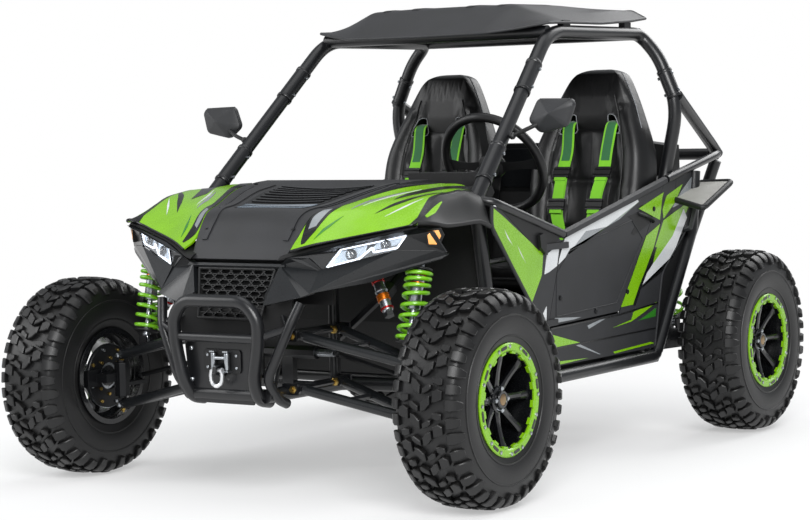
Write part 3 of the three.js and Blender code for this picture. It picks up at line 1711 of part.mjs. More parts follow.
function steeringSolid() {
  const torus = new THREE.TorusGeometry(steeringWheelRadius, steeringRimTube, wheelTubeSides, wheelSteps);
  const wheel = toManifold(torus);
  const spoke = (angle) =>
    rod(
      V(0, 0, 0),
      V(steeringWheelRadius * Math.cos(angle), steeringWheelRadius * Math.sin(angle), 0),
      steeringRimTube / 2,
      hiddenSides,
    );
  const hub = rod(
    V(0, 0, steeringRimTube * 2),
    V(0, 0, -steeringRimTube * 2),
    steeringRimTube * 2,
    roundSides,
  );
  const flat = join(wheel, spoke(0), spoke(Math.PI), spoke(-Math.PI / 2), hub);
  // The wheel's own +Z becomes the column's direction toward the driver.
  const towardDriver = columnDirection.clone().negate();
  const side = V(1, 0, 0);
  const up = towardDriver.clone().cross(side);
  const turn = new THREE.Matrix4().makeBasis(side, up, towardDriver).setPosition(steeringCentre);
  const placed = flat.transform(turn.elements);
  return join(placed, rod(steeringCentre, columnEnd, columnRadius, roundSides));
}
add("steering_wheel", steeringSolid(), meshPlastic);

// Seats: rings along the seat's back and underside line, deeper at the side bolsters
const spineShares = [
  [0, 0.039, 0.403],
  [0, 0.066, 0.381],
  [0, 0.273, 0.377],
  [0, 0.47, 0.377],
  [0, 0.612, 0.4],
  [0, 0.669, 0.48],
  [0, 0.699, 0.573],
  [0, 0.73, 0.669],
  [0, 0.765, 0.767],
  [0, 0.789, 0.847],
  [0, 0.796, 0.883],
];
const seatHalfShares = [0.42, 0.44, 0.46, 0.47, 0.48, 0.48, 0.5, 0.5, 0.37, 0.24, 0.15];
const seatDeepShares = [0.05, 0.16, 0.19, 0.2, 0.24, 0.24, 0.23, 0.22, 0.19, 0.17, 0.1];
const bolsterShares = [1, 0.8, 0.72, 0.66, 0.6, 0.52, 0.48, 0.5, 0.85, 1, 1];
const sectionShares = [
  [-1, 0.12],
  [-1, 0.66],
  [-0.93, 0.96],
  [-0.72, 1],
  [-0.56, "low"],
  [-0.2, "lower"],
  [0.2, "lower"],
  [0.56, "low"],
  [0.72, 1],
  [0.93, 0.96],
  [1, 0.66],
  [1, 0.12],
  [0.7, 0],
  [-0.7, 0],
];

function seatFrame(i) {
  const points = route(spineShares);
  const before = points[Math.max(i - 1, 0)];
  const after = points[Math.min(i + 1, points.length - 1)];
  const heading = after.clone().sub(before).normalize();
  return { at: points[i], out: V(0, -heading.z, heading.y).normalize() };
}

function seatPoint(i, across, depthShare, grow) {
  const { at: base, out } = seatFrame(i);
  const half = seatHalfShares[i] * seatWidth;
  const deep = seatDeepShares[i] * seatWidth;
  return base.clone().add(V(seatX + across * half, 0, 0)).addScaledVector(out, depthShare * deep + grow);
}

function seatShell(grow) {
  const rings = spineShares.map((_, i) =>
    sectionShares.map(([across, level]) => {
      const hollow = { low: (bolsterShares[i] + 1) / 2, lower: bolsterShares[i] };
      const depth = hollow[level] ?? level;
      return seatPoint(i, across, depth, grow);
    }),
  );
  return toManifold(loft(rings));
}

const railWidth = 30;
const slotShares = [0.42, 0.62];

function seatSolid() {
  const riser = at(tubShares[4]).z + seatGap;
  const feet = [-1, 1].map((side) => {
    const x = seatX + side * seatWidth / 4;
    return box(
      V(x - railWidth / 2, at(tubShares[4]).y + railWidth, riser),
      V(x + railWidth / 2, at(tubShares[5]).y - railWidth, at(spineShares[2]).z + railWidth),
    );
  });
  const slots = [-1, 1].map((side) => {
    const [low, high] = slotShares.map((s) => seatX + side * s * seatWidth / 2);
    const y = at(spineShares[8]).y;
    const z = at(spineShares[8]).z;
    return box(
      V(Math.min(low, high), y - seatWidth, z - railWidth * 3 / 2),
      V(Math.max(low, high), y + seatWidth / 2, z + railWidth / 3),
    );
  });
  return cut(join(seatShell(0), feet), slots, cageRoom, chassisRoom);
}
const seat = seatSolid();
add("seat_left", seat, seatLeather);
add("seat_right", flip(seat), seatLeather);

// Harness: two shoulder straps and a lap belt meeting at the buckle, lying on the seat's front
const strapWidth = 50;
const strapThick = 5;
const strapAcrossShares = [[8, 0.54], [7, 0.5], [6, 0.42], [5, 0.3], [4, 0.16], [3, 0.05]];
const strapSink = 8;
const faceShares = [0.2, 0.56, 0.72]; // where the seat's middle ends, its slope bends and its bolster begins

// How deep the seat's face is at a share across it: level in the middle, then rising to the full bolster
function faceDepth(i, across) {
  const low = bolsterShares[i];
  const middle = (low + 1) / 2;
  const [flat, knee, edge] = faceShares;
  if (across < flat) return low;
  if (across < knee) return low + ((middle - low) * (across - flat)) / (knee - flat);
  return Math.min(1, middle + ((1 - middle) * (across - knee)) / (edge - knee));
}

function strap(places, side) {
  const rings = places.map(([i, across], k) => {
    const outer = across + strapWidth / 2 / (seatHalfShares[i] * seatWidth);
    const level = seatPoint(i, side * across, faceDepth(i, outer), 0);
    const { out } = seatFrame(i);
    const half = V(strapWidth / 2, 0, 0);
    const top = level.clone().addScaledVector(out, strapThick + strapSink / 2);
    const low = level.clone().addScaledVector(out, -strapSink);
    return [low.clone().sub(half), low.clone().add(half), top.clone().add(half), top.clone().sub(half)];
  });
  return toManifold(loft(rings));
}

function harnessSolid() {
  const straps = [-1, 1].map((side) => strap(strapAcrossShares, side));
  const middle = seatPoint(3, 0, bolsterShares[3], 0);
  const reach = V(strapWidth, strapWidth / 2, strapSink);
  const buckle = box(middle.clone().sub(reach), middle.clone().add(reach).add(V(0, 0, strapThick)));
  const lapHalf = seatWidth * 0.3;
  const lap = box(
    middle.clone().add(V(-lapHalf, -strapWidth / 2, -strapSink)),
    middle.clone().add(V(lapHalf, strapWidth / 2, strapThick)),
  );
  return cut(join(straps, buckle, lap), seatShell(seatGap), cageRoom);
}
const harness = harnessSolid();
add("harness_left", harness, limeWebbing);
add("harness_right", flip(harness), limeWebbing);

// Mirrors: a faceted head on an arm that swings about a ball on the windscreen pillar
const mirrorArmRadius = 8;
const mirrorHeadShares = [
  [0.978, -0.295, 0.765],
  [1.033, -0.286, 0.813],
  [1.242, -0.286, 0.811],
  [1.262, -0.291, 0.799],
  [1.222, -0.301, 0.752],
  [1.057, -0.301, 0.738],
];
const mirrorDepth = 22;
const mirrorBulge = 26;

function mirrorSolid() {
  const hoop = route(cageHoopShares);
  const foot = hoop[0].clone().lerp(hoop[1], mirrorFootShare);
  const centre = foot.clone().add(V(cageTube + mirrorBall + seatGap, 0, 0));
  const ring = route(mirrorHeadShares);
  const middle = ring.reduce((sum, p) => sum.add(p), V(0, 0, 0)).divideScalar(ring.length);
  const bulge = ring.map((p) => p.clone().lerp(middle, 1 / 2).sub(V(0, mirrorBulge + mirrorDepth, 0)));
  const back = ring.map((p) => p.clone().sub(V(0, mirrorDepth, 0)));
  const head = toManifold(loft([ring, back, bulge]));
  return cut(
    join(
      head,
      ball(centre, mirrorBall),
      bar([centre, middle.clone().sub(V(0, mirrorDepth, 0))], mirrorArmRadius),
    ),
    cageRoom,
  );
}
const mirror = mirrorSolid();
add("mirror_left", mirror, charcoalPlastic);
add("mirror_right", flip(mirror), charcoalPlastic);

// Power unit behind the seats: crankcase, finned cylinder, clutch cover and the drive to the swing pivot
const engineShares = [[-0.25, 0.803, 0.352], [0.283, 1.104, 0.46]];
const cylinderShare = [-0.067, 0.94, 0.46];
const finCount = 2;
const finPitch = 24;
const finHalf = 62;
const cylinderHeight = 90;
const clutchRadius = 78;
const mufflerRadius = 55;
const mufflerShares = [[-0.4, 1.158, 0.467], [0.333, 1.158, 0.467]];
const driveShares = [[0.167, 0.328, 0.234], [0.167, 0.831, 0.373]];
const driveHalf = 10;
const driveDepth = 30;

function powerSolid() {
  const [low, high] = route(engineShares);
  const head = at(cylinderShare);
  const fins = Array.from({ length: finCount }, (_, k) => {
    const z = head.z + finPitch * (k + 1);
    return box(
      V(head.x - finHalf, head.y - finHalf, z),
      V(head.x + finHalf, head.y + finHalf, z + finPitch / 2),
    );
  });
  const barrel = rod(head, head.clone().add(V(0, 0, cylinderHeight)), finHalf * 3 / 4, roundSides);
  const cover = rod(
    V(high.x - 1, low.y + clutchRadius, low.z + clutchRadius),
    V(high.x + finPitch * 2, low.y + clutchRadius, low.z + clutchRadius),
    clutchRadius,
    roundSides,
  );
  const [front, rear] = route(driveShares);
  const ring = (p) => squareCorners.map(([a, b]) => V(p.x + a * driveHalf, p.y, p.z + b * driveDepth));
  const drive = toManifold(loft([ring(front), ring(rear)]));
  const sprocket = rod(
    V(sprocketX - chainWidth / 4, swingPivotY, swingPivotZ),
    V(sprocketX + chainWidth / 4, swingPivotY, swingPivotZ),
    frontSprocketRadius - chainWidth / 4,
    roundSides,
  );
  const jackshaft = rod(
    V(sprocketX, swingPivotY, swingPivotZ),
    V(front.x + driveHalf, swingPivotY, swingPivotZ),
    driveDepth * 2 / 3,
    roundSides,
  );
  const feet = cradleShares.map((share) => {
    const y = at(share).y;
    const z = at(share).z;
    return [-1, 1].map((side) => {
      const x = side * (low.x + high.x + finHalf * 3) / 2;
      const inward = y < (low.y + high.y) / 2 ? 1 : -1;
      const nearY = inward > 0 ? low.y + finPitch : high.y - finPitch;
      return bar([V(x, y, z), V(x, nearY, low.z + finPitch)], smallTube, hiddenSides);
    });
  });
  const [left, right] = route(mufflerShares);
  const muffler = rod(left, right, mufflerRadius, roundSides);
  return cut(
    join(box(low, high), fins, barrel, cover, drive, sprocket, jackshaft, feet, muffler),
    rod(
      V(-bodyHalfWidth, swingPivotY, swingPivotZ),
      V(bodyHalfWidth, swingPivotY, swingPivotZ),
      boreRadius(pivotShaftRadius),
      roundSides,
    ),
    chassisRoom,
    cageRoom,
  );
}
add("power_unit", powerSolid(), castMetal);

export default kart;
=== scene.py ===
# Off-road go kart: the look of the real machine, dressed over its CAD frame. Lengths are in metres.
import math

import bmesh
import bpy
import numpy as np
from mathutils import Matrix, Vector


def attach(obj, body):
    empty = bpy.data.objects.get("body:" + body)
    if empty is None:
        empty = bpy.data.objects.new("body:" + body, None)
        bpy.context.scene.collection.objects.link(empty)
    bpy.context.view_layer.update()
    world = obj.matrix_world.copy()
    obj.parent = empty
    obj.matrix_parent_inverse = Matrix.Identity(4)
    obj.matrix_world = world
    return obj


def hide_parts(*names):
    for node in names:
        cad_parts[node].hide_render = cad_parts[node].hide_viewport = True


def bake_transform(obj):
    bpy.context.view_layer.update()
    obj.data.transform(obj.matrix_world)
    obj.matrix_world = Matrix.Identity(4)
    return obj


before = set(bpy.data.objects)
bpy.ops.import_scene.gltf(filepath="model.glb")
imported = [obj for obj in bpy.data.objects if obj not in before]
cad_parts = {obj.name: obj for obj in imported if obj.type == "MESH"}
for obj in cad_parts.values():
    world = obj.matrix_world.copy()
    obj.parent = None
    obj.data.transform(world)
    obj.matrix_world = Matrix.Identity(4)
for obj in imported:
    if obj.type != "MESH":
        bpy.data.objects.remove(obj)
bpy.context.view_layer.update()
print("frame loaded:", len(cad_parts), "nodes")


def linearColour(hexText):
    # sRGB hex to linear RGBA: below 0.04045 divide by 12.92, above it ((c + 0.055) / 1.055) to the power 2.4
    parts = [int(hexText[i : i + 2], 16) / 255 for i in (1, 3, 5)]
    return [c / 12.92 if c <= 0.04045 else ((c + 0.055) / 1.055) ** 2.4 for c in parts] + [1.0]


def addNode(tree, kind, settings=None, inputs=None):
    # adds one node, sets its properties, and gives each named or numbered socket a value or another socket
    node = tree.nodes.new(kind)
    for key, value in (settings or {}).items():
        setattr(node, key, value)
    for key, value in (inputs or {}).items():
        socket = node.inputs[key]
        if isinstance(value, bpy.types.NodeSocket):
            tree.links.new(value, socket)
        else:
            socket.default_value = value
    return node


# what all finishes share: which part of the noise counts, how dust lies, and the clear coat and clear plastic
shading = {
    "blotchMm": 90,
    "blotchRange": (0.35, 0.75),
    "grainRange": (0.3, 0.7),
    "depthMm": 0.2,
    "dustFrom": 0.2,
    "dustColour": "#8c857a",
    "coatRoughness": 0.08,
    "clearIor": 1.49,
}


def shareOf(tree, value, ends, to=(0.0, 1.0)):
    # the value moved to the other scale: to[0] + (to[1] - to[0]) (value - ends[0]) / (ends[1] - ends[0])
    inputs = {"Value": value, "From Min": ends[0], "From Max": ends[1], "To Min": to[0], "To Max": to[1]}
    return addNode(tree, "ShaderNodeMapRange", inputs=inputs).outputs[0]


def noiseOf(tree, place, sizeMm, detail, roughness):
    # noise whose blobs are sizeMm wide
    inputs = {"Vector": place, "Scale": 1000 / sizeMm, "Detail": detail, "Roughness": roughness}
    return addNode(tree, "ShaderNodeTexNoise", inputs=inputs).outputs[0]


def mixed(tree, share, first, second):
    # one colour turned to another by a share
    return addNode(tree, "ShaderNodeMix", {"data_type": "RGBA"}, {0: share, 6: first, 7: second}).outputs[2]


def finishMaterial(name, look):
    # look holds the finish: colour, its blotched second colour, roughness range, grain size and depth in mm
    material = bpy.data.materials.new(name)
    material.use_nodes = True
    tree = material.node_tree
    shader = tree.nodes["Principled BSDF"]
    place = addNode(tree, "ShaderNodeTexCoord").outputs["Object"]
    grain = noiseOf(tree, place, look["grainMm"], 3.0, 0.6)
    blotch = noiseOf(tree, place, shading["blotchMm"], 4.0, 0.55)
    blotched = shareOf(tree, blotch, shading["blotchRange"])
    colour = mixed(tree, blotched, linearColour(look["colour"]), linearColour(look["blotchColour"]))
    if "dust" in look:
        # pale dust lies on faces that look up
        normal = addNode(tree, "ShaderNodeNewGeometry").outputs["Normal"]
        facing = addNode(tree, "ShaderNodeSeparateXYZ", inputs={0: normal}).outputs[2]
        dusty = shareOf(tree, facing, (shading["dustFrom"], 1.0), (0.0, look["dust"]))
        colour = mixed(tree, dusty, colour, linearColour(shading["dustColour"]))
    tree.links.new(colour, shader.inputs["Base Color"])
    gloss = shareOf(tree, grain, shading["grainRange"], look["roughness"])
    tree.links.new(gloss, shader.inputs["Roughness"])
    depth = look.get("depthMm", shading["depthMm"]) / 1000
    bump = addNode(
        tree, "ShaderNodeBump", inputs={"Strength": look["bump"], "Distance": depth, "Height": grain}
    )
    tree.links.new(bump.outputs[0], shader.inputs["Normal"])
    shader.inputs["Metallic"].default_value = look.get("metallic", 0.0)
    shader.inputs["Coat Weight"].default_value = look.get("coat", 0.0)
    shader.inputs["Coat Roughness"].default_value = shading["coatRoughness"]
    shader.inputs["Sheen Weight"].default_value = look.get("sheen", 0.0)
    if "glow" in look:
        shader.inputs["Emission Color"].default_value = linearColour(look["colour"])
        shader.inputs["Emission Strength"].default_value = look["glow"]
    if "glass" in look:
        shader.inputs["Transmission Weight"].default_value = look["glass"]
        shader.inputs["IOR"].default_value = shading["clearIor"]
    return material


def finishOf(colour, blotchColour, roughness, grainMm, bump, **more):
    # one finish: two colours, a roughness range, the grain's size in mm and how strongly the grain shows
    main = {"colour": colour, "blotchColour": blotchColour, "roughness": roughness}
    return {**main, "grainMm": grainMm, "bump": bump, **more}


looks = {
    # steel tube, powder coated: satin black with a fine orange peel
    "powderCoatedTube": finishOf("#0f1012", "#141518", (0.3, 0.42), 1.6, 0.18, coat=0.15),
    # polypropylene, injection moulded: dark grey with a leather-like grain
    "mouldedCharcoal": finishOf("#242527", "#292a2d", (0.42, 0.58), 1.2, 0.3, dust=0.02),
    # ABS, moulded in a polished tool and lacquered: green with a wet gloss
    "lacqueredLime": finishOf("#7fb908", "#76ad06", (0.22, 0.32), 4, 0.04, coat=0.2),
    "lacqueredDarkGreen": finishOf("#2f7d22", "#286f1d", (0.2, 0.3), 4, 0.04, coat=0.4),
    # ABS, polished and lacquered: black and pale grey of the body graphics
    "lacqueredBlack": finishOf("#08090a", "#0c0d0e", (0.24, 0.34), 4, 0.04, coat=0.12),
    "lacqueredWhite": finishOf("#d9dcdd", "#cfd2d4", (0.2, 0.3), 4, 0.04, coat=0.3),
    "lacqueredGrey": finishOf("#8b9093", "#7f8488", (0.2, 0.3), 4, 0.04, coat=0.3),
    # ABS of the lamp surrounds, moulded in a polished tool: black with a softer gloss than the graphics
    "satinBlack": finishOf("#131517", "#181a1c", (0.26, 0.36), 3, 0.06, coat=0.12),
    # aluminium sheet, brushed: the flat of the rear mudguard
    "brushedSheet": finishOf("#a5a49f", "#979691", (0.4, 0.55), 2.5, 0.12),
    # polycarbonate, metallised behind: the silver-blue strip across the hood
    "silveredStrip": finishOf("#b4c3d2", "#93a7ba", (0.08, 0.16), 6, 0.02, metallic=0.55, coat=0.8),
    # nylon, moulded with a rough tool: flat black of the mesh and shrouds
    "mouldedBlack": finishOf("#0b0c0d", "#101112", (0.42, 0.6), 1.0, 0.3),
    # polycarbonate, clear and polished: a little blue in the thick of it
    "clearLens": finishOf("#e8eef4", "#e8eef4", (0.02, 0.05), 8, 0.01, glass=0.92, coat=0.5),
    # reflector, aluminised: slightly rippled; its glow is a painted reflection that makes it bright
    "reflectorWithPaintedGlow": finishOf("#e4e9ef", "#c6d0da", (0.1, 0.2), 5, 0.05, metallic=0.85, glow=0.42),
    # light guide, frosted and lit from inside
    "litGuide": finishOf("#f4f8ff", "#f4f8ff", (0.3, 0.4), 4, 0.02, glow=2.2),
    # amber polycarbonate of the indicator
    "amberLens": finishOf("#f0a04c", "#f8c88a", (0.1, 0.2), 5, 0.04, glow=0.35, coat=0.6),
    # vinyl leather, stretched and sewn: fine creased grain, satin; its piping is grey and matt
    "sewnVinyl": finishOf("#070708", "#0b0b0c", (0.34, 0.48), 2.4, 0.4, depthMm=0.3),
    "greyPiping": finishOf("#8d8f92", "#7d7f83", (0.5, 0.65), 1.2, 0.4),
    # polyester, woven as webbing: matt and coarse, with its weave drawn as coarse as it needs to show
    "darkGreenWebbing": finishOf("#2c6e3c", "#266235", (0.7, 0.85), 1.5, 0.7, depthMm=0.4, sheen=0.3),
    "limeWebbing": finishOf("#7ccb1e", "#70bd1a", (0.7, 0.85), 1.5, 0.7, depthMm=0.4, sheen=0.3),
    # tyre rubber, cured in a mould: matt, slightly dusty
    "curedRubber": finishOf("#0a0a0b", "#0f0f10", (0.34, 0.54), 1.6, 0.35, dust=0.02),
    # aluminium wheel, cast and painted: gloss black
    "paintedWheel": finishOf("#07080a", "#0c0d0f", (0.18, 0.3), 3, 0.06, coat=0.5),
    # aluminium of the wheel cap and the dampers' rings, anodised: coloured metal with a soft sheen
    "anodisedBronze": finishOf("#a08868", "#8e765a", (0.25, 0.4), 1.5, 0.1, metallic=1.0),
    # steel, bright zinc: cool grey with a slight haze
    "brightZinc": finishOf("#b9bdc1", "#9fa4a9", (0.22, 0.38), 2, 0.12, metallic=1.0),
    "yellowZinc": finishOf("#b79a55", "#a3894c", (0.28, 0.42), 2, 0.12, metallic=1.0),
    # steel, oxide black: dark metal with a dull sheen
    "blackSteel": finishOf("#121315", "#1a1b1d", (0.32, 0.46), 1.6, 0.15, metallic=0.5),
    # aluminium, sand cast: grey and grainy
    "sandCast": finishOf("#74777a", "#66696c", (0.42, 0.58), 1.4, 0.4, metallic=0.85),
    # spring steel, powder coated lime
    "coatedSpring": finishOf("#7cc41c", "#70b617", (0.25, 0.36), 3, 0.06, coat=0.4),
    "anodisedRed": finishOf("#b3201c", "#a01a18", (0.22, 0.34), 2, 0.05, metallic=0.8),
    "anodisedOrange": finishOf("#d9731a", "#c96714", (0.22, 0.34), 2, 0.05, metallic=0.8),
    # mirror glass: silvered behind
    "silveredGlass": finishOf("#c6ccd2", "#c6ccd2", (0.02, 0.04), 10, 0.0, metallic=1.0),
    # polyethylene, rotationally moulded: near-black floor and liners; the near-black is partly the plastic's
    # own colour and partly painted shade for the dark deep inside
    "rotoMouldedLinerPaintedShade": finishOf("#060607", "#09090a", (0.6, 0.75), 2, 0.3),
}
finish = {name: finishMaterial(name, look) for name, look in looks.items()}
print("materials:", len(finish))


def lanes(*points):
    # a path or an outline as an array of points, one row each
    return np.array(points, dtype=float)


def mm(*points):
    # the same, given in millimetres
    return lanes(*points) / 1000


def kept(points):
    # the same points, as they are
    return np.asarray(points, dtype=float)


def mirrored(points):
    # the same points on the other side: x turns to -x
    return np.asarray(points) * np.array([-1.0, 1.0, 1.0])


def unit(vectors):
    # one vector, or each row of them, divided by its length
    return vectors / np.linalg.norm(vectors, axis=-1, keepdims=True)


def curved(points, steps, axis=0):
    # Catmull-Rom through the points: with neighbours p0..p3 and share t,
    # p = (2 p1 + (p2 - p0) t + (2 p0 - 5 p1 + 4 p2 - p3) t^2 + (3 p1 - p0 - 3 p2 + p3) t^3) / 2
    p = np.moveaxis(np.asarray(points, dtype=float), axis, 0)
    ends = np.concatenate([[2 * p[0] - p[1]], p, [2 * p[-1] - p[-2]]])
    t = (np.arange(steps) / steps).reshape((1, steps) + (1,) * (p.ndim - 1))
    p0, p1, p2, p3 = (ends[k : len(ends) - 3 + k][:, None] for k in range(4))
    square, cube = 2 * p0 - 5 * p1 + 4 * p2 - p3, 3 * p1 - p0 - 3 * p2 + p3
    out = 0.5 * (2 * p1 + (p2 - p0) * t + square * t**2 + cube * t**3)
    out = out.reshape((-1,) + p.shape[1:])
    return np.moveaxis(np.concatenate([out, p[-1:]]), 0, axis)


def filleted(points, reach, steps=6):
    # rounds each inner corner over reach on both sides of it, by (1-t)^2 a + 2 t (1-t) corner + t^2 b
    points = np.asarray(points, dtype=float)
    rows = [points[:1]]
    t = np.linspace(0, 1, steps)[:, None]
    for before, corner, after in zip(points[:-2], points[1:-1], points[2:]):
        backward, forward = before - corner, after - corner
        room = min(reach, np.linalg.norm(backward) * 0.45, np.linalg.norm(forward) * 0.45)
        a = corner + unit(backward) * room
        b = corner + unit(forward) * room
        rows.append((1 - t) ** 2 * a + 2 * t * (1 - t) * corner + t**2 * b)
    rows.append(points[-1:])
    return np.concatenate(rows)


def rounded(outline, reach, steps):
    # a closed outline with its corners rounded; the last point stands where the first one does
    return filleted(np.concatenate([outline, outline[:2]]), reach, steps)[1:]


def gridFaces(rows, columns, wrap=False, start=0):
    # quads between neighbouring rows and columns of a grid of points; wrap joins the last column to the first
    i, j = np.meshgrid(np.arange(rows - 1), np.arange(columns if wrap else columns - 1), indexing="ij")
    k = (j + 1) % columns
    quads = np.stack(
        [i * columns + j, (i + 1) * columns + j, (i + 1) * columns + k, i * columns + k], axis=-1
    )
    return (quads.reshape(-1, 4) + start).tolist()


def lofted(rings):
    # closed rings of equal length, skinned one to the next, with a face across each end
    rings = np.asarray(rings, dtype=float)
    rows, columns = rings.shape[:2]
    ends = [list(range(columns))[::-1], list(range((rows - 1) * columns, rows * columns))]
    return rings.reshape(-1, 3), gridFaces(rows, columns, True) + ends


def copies(points, faces):
    # points holds many copies of one part's points, all with the same faces
    count, size = points.shape[:2]
    return points.reshape(-1, 3), [[i + k * size for i in face] for k in range(count) for face in faces]


def directionsAlong(path):
    # unit tangents by central differences, and two unit vectors square to them
    tangent = unit(np.gradient(path, axis=0))
    choices = np.array([[0, 0, 1], [0, 1, 0], [1, 0, 0], [0.6, 0.5, 0.62]], dtype=float)
    crossed = [np.linalg.norm(np.cross(tangent, c), axis=1).min() for c in choices]
    side = unit(np.cross(tangent, choices[int(np.argmax(crossed))]))
    return tangent, side, np.cross(tangent, side)


def tube(path, radius, sides=14):
    # centre(s) + radius (side cos a + up sin a), a going once round; radius may change along the path
    path = np.asarray(path, dtype=float)
    _, side, up = directionsAlong(path)
    a = np.linspace(0, 2 * math.pi, sides, endpoint=False)
    reach = np.broadcast_to(np.asarray(radius, dtype=float), (len(path),))[:, None, None]
    ring = side[:, None] * np.cos(a)[None, :, None] + up[:, None] * np.sin(a)[None, :, None]
    return lofted(path[:, None] + reach * ring)


def turned(profile, centre, axis, steps=32):
    # a profile of (radius, distance) turned once round the axis: centre + axis d + r (u cos a + v sin a)
    profile = np.asarray(profile, dtype=float)
    axis = unit(np.asarray(axis, dtype=float))
    u = unit(np.cross(axis, [0, 0, 1] if abs(axis[2]) < 0.9 else [0, 1, 0]))
    v = np.cross(axis, u)
    a = np.linspace(0, 2 * math.pi, steps, endpoint=False)
    ring = u * np.cos(a)[:, None] + v * np.sin(a)[:, None]
    radius, distance = profile.T[:, :, None, None]
    points = np.asarray(centre) + axis * distance + radius * ring[None]
    if not np.allclose(profile[0], profile[-1]):
        return lofted(points)
    # a closed profile makes a ring: its last row of faces goes back to the first points
    points = points[:-1]
    last, k = (len(points) - 1) * steps, np.arange(steps)
    after = (k + 1) % steps
    closing = np.stack([last + k, k, after, last + after], axis=-1).tolist()
    return points.reshape(-1, 3), gridFaces(len(points), steps, True) + closing


def block(low, high):
    # a box between two corners
    (x0, y0, z0), (x1, y1, z1) = low, high
    ring = lambda z: [[x0, y0, z], [x1, y0, z], [x1, y1, z], [x0, y1, z]]
    return lofted([ring(z0), ring(z1)])


def slab(outline, depth):
    # an outline of points pushed along the depth vector
    outline = np.asarray(outline, dtype=float)
    return lofted([outline, outline + np.asarray(depth)])


def skin(grid, thickness, lift=0.0):
    # a grid of points given a wall: each point moves along the surface normal by lift and by lift - thickness
    grid = np.asarray(grid, dtype=float)
    across = np.cross(np.gradient(grid, axis=0), np.gradient(grid, axis=1))
    across /= np.maximum(np.linalg.norm(across, axis=2), 1e-12)[..., None]
    across *= np.sign(across[..., 2].sum() + across[..., 1].sum() * -0.2)
    top, low = grid + across * lift, grid + across * (lift - thickness)
    rows, columns = grid.shape[:2]
    count = rows * columns
    faces = gridFaces(rows, columns) + [f[::-1] for f in gridFaces(rows, columns, start=count)]
    border = np.concatenate([
        np.arange(columns),
        np.arange(1, rows) * columns + columns - 1,
        (rows - 1) * columns + np.arange(columns - 2, -1, -1),
        np.arange(rows - 2, 0, -1) * columns,
    ])
    following = np.roll(border, -1)
    faces += np.stack([border, following, following + count, border + count], axis=-1).tolist()
    return np.concatenate([top.reshape(-1, 3), low.reshape(-1, 3)]), faces


def added(name, data):
    # an object that holds the data, put in the scene
    thing = bpy.data.objects.new(name, data)
    bpy.context.scene.collection.objects.link(thing)
    return thing


def soften(thing, width, degrees):
    # rounds the edges that are sharper than so many degrees
    edge = thing.modifiers.new("edge", "BEVEL")
    edge.width, edge.segments, edge.limit_method, edge.angle_limit = width, 2, "ANGLE", math.radians(degrees)
    return edge


def piece(name, body, parts, replaced=(), bevel=0.0, angle=35.0, turn=kept):
    # parts are (points and faces, finish name); they become one mesh with one material slot for each finish,
    # on the side that turn puts them on
    names = list(dict.fromkeys(look for _, look in parts))
    points, faces, slots, start = [], [], [], 0
    for (verts, quads), look in parts:
        points.append(turn(verts))
        faces += [[i + start for i in f] for f in quads]
        slots += [names.index(look)] * len(quads)
        start += len(verts)
    mesh = bpy.data.meshes.new(name)
    mesh.from_pydata(np.concatenate(points), [], faces)
    mesh.polygons.foreach_set("material_index", slots)
    bm = bmesh.new()
    bm.from_mesh(mesh)
    bmesh.ops.remove_doubles(bm, verts=bm.verts, dist=1e-6)
    bmesh.ops.dissolve_degenerate(bm, edges=bm.edges, dist=1e-7)
    bmesh.ops.recalc_face_normals(bm, faces=bm.faces)
    bm.to_mesh(mesh)
    bm.free()
    for look in names:
        mesh.materials.append(finish[look])
    mesh.shade_smooth()
    mesh.set_sharp_from_angle(angle=math.radians(angle))
    thing = added(name, mesh)
    if bevel:
        soften(thing, bevel, 40).harden_normals = True
    if body:
        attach(thing, body)
    if replaced:
        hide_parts(*replaced)
    return thing


def dress(node, look, bevel=0.0012):
    # a CAD node keeps its shape and gets a finish and softened edges
    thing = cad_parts[node]
    for holder in thing.material_slots:
        holder.material = finish[look]
    weld = thing.modifiers.new("weld", "WELD")
    weld.merge_threshold = 0.00002
    if bevel:
        soften(thing, bevel, 38)


def bothSides(build):
    # runs a builder for the left side and its mirror image
    for side, turn in (("left", kept), ("right", mirrored)):
        build(side, turn)


def twoSided(parts):
    # the parts of the left side, and after them their mirror images
    return parts + [((mirrored(points), faces), look) for (points, faces), look in parts]


def boltHead(place, axis, radius, height, top, crown, sides=6):
    # a head of the given radius and height, and above it a chamfer up to the top radius at the crown's height
    return turned([(0, 0), (radius, 0), (radius, height), (top, crown), (0, crown)], place, axis, sides)


def grown(outline, share):
    # an outline made larger or smaller about its middle
    middle = np.mean(outline, axis=0)
    return middle + (outline - middle) * share


def frontOutline(y, half):
    # an outline that faces forward, given by the (x, z) of its left half from the bottom up, and mirrored
    return lanes(*[(x, y, z) for x, z in half], *[(-x, y, z) for x, z in half[::-1]])


def onLevel(x, *places):
    # points at one distance x from the middle of the kart, given as (y, z); all in mm
    return mm(*[(x, y, z) for y, z in places])


# Tyres: a carcass turned from its section, and knobs laid on it by distance across and round the tread
tyre = {
    "section": lanes(
        (-0.088, 0.1535), (-0.097, 0.16), (-0.103, 0.178), (-0.111, 0.205), (-0.1135, 0.235), (-0.11, 0.266),
        (-0.103, 0.29), (-0.091, 0.305), (-0.06, 0.3115), (0, 0.3135)
    ),
    "wall": 0.014,
    "treadRadius": 0.3135,
    "pitches": 20,
    "knobHeight": 0.0158,
    "knobRoot": 0.002,
    "softEdge": 0.0025,
    "bandsAt": (0.19, 0.252),
    "band": (
        (-0.003, -0.0005), (-0.002, -0.0025), (0.002, -0.0028), (0.003, -0.0008), (0, 0.004),
        (-0.003, -0.0005)
    ),
    "round": 96,
}


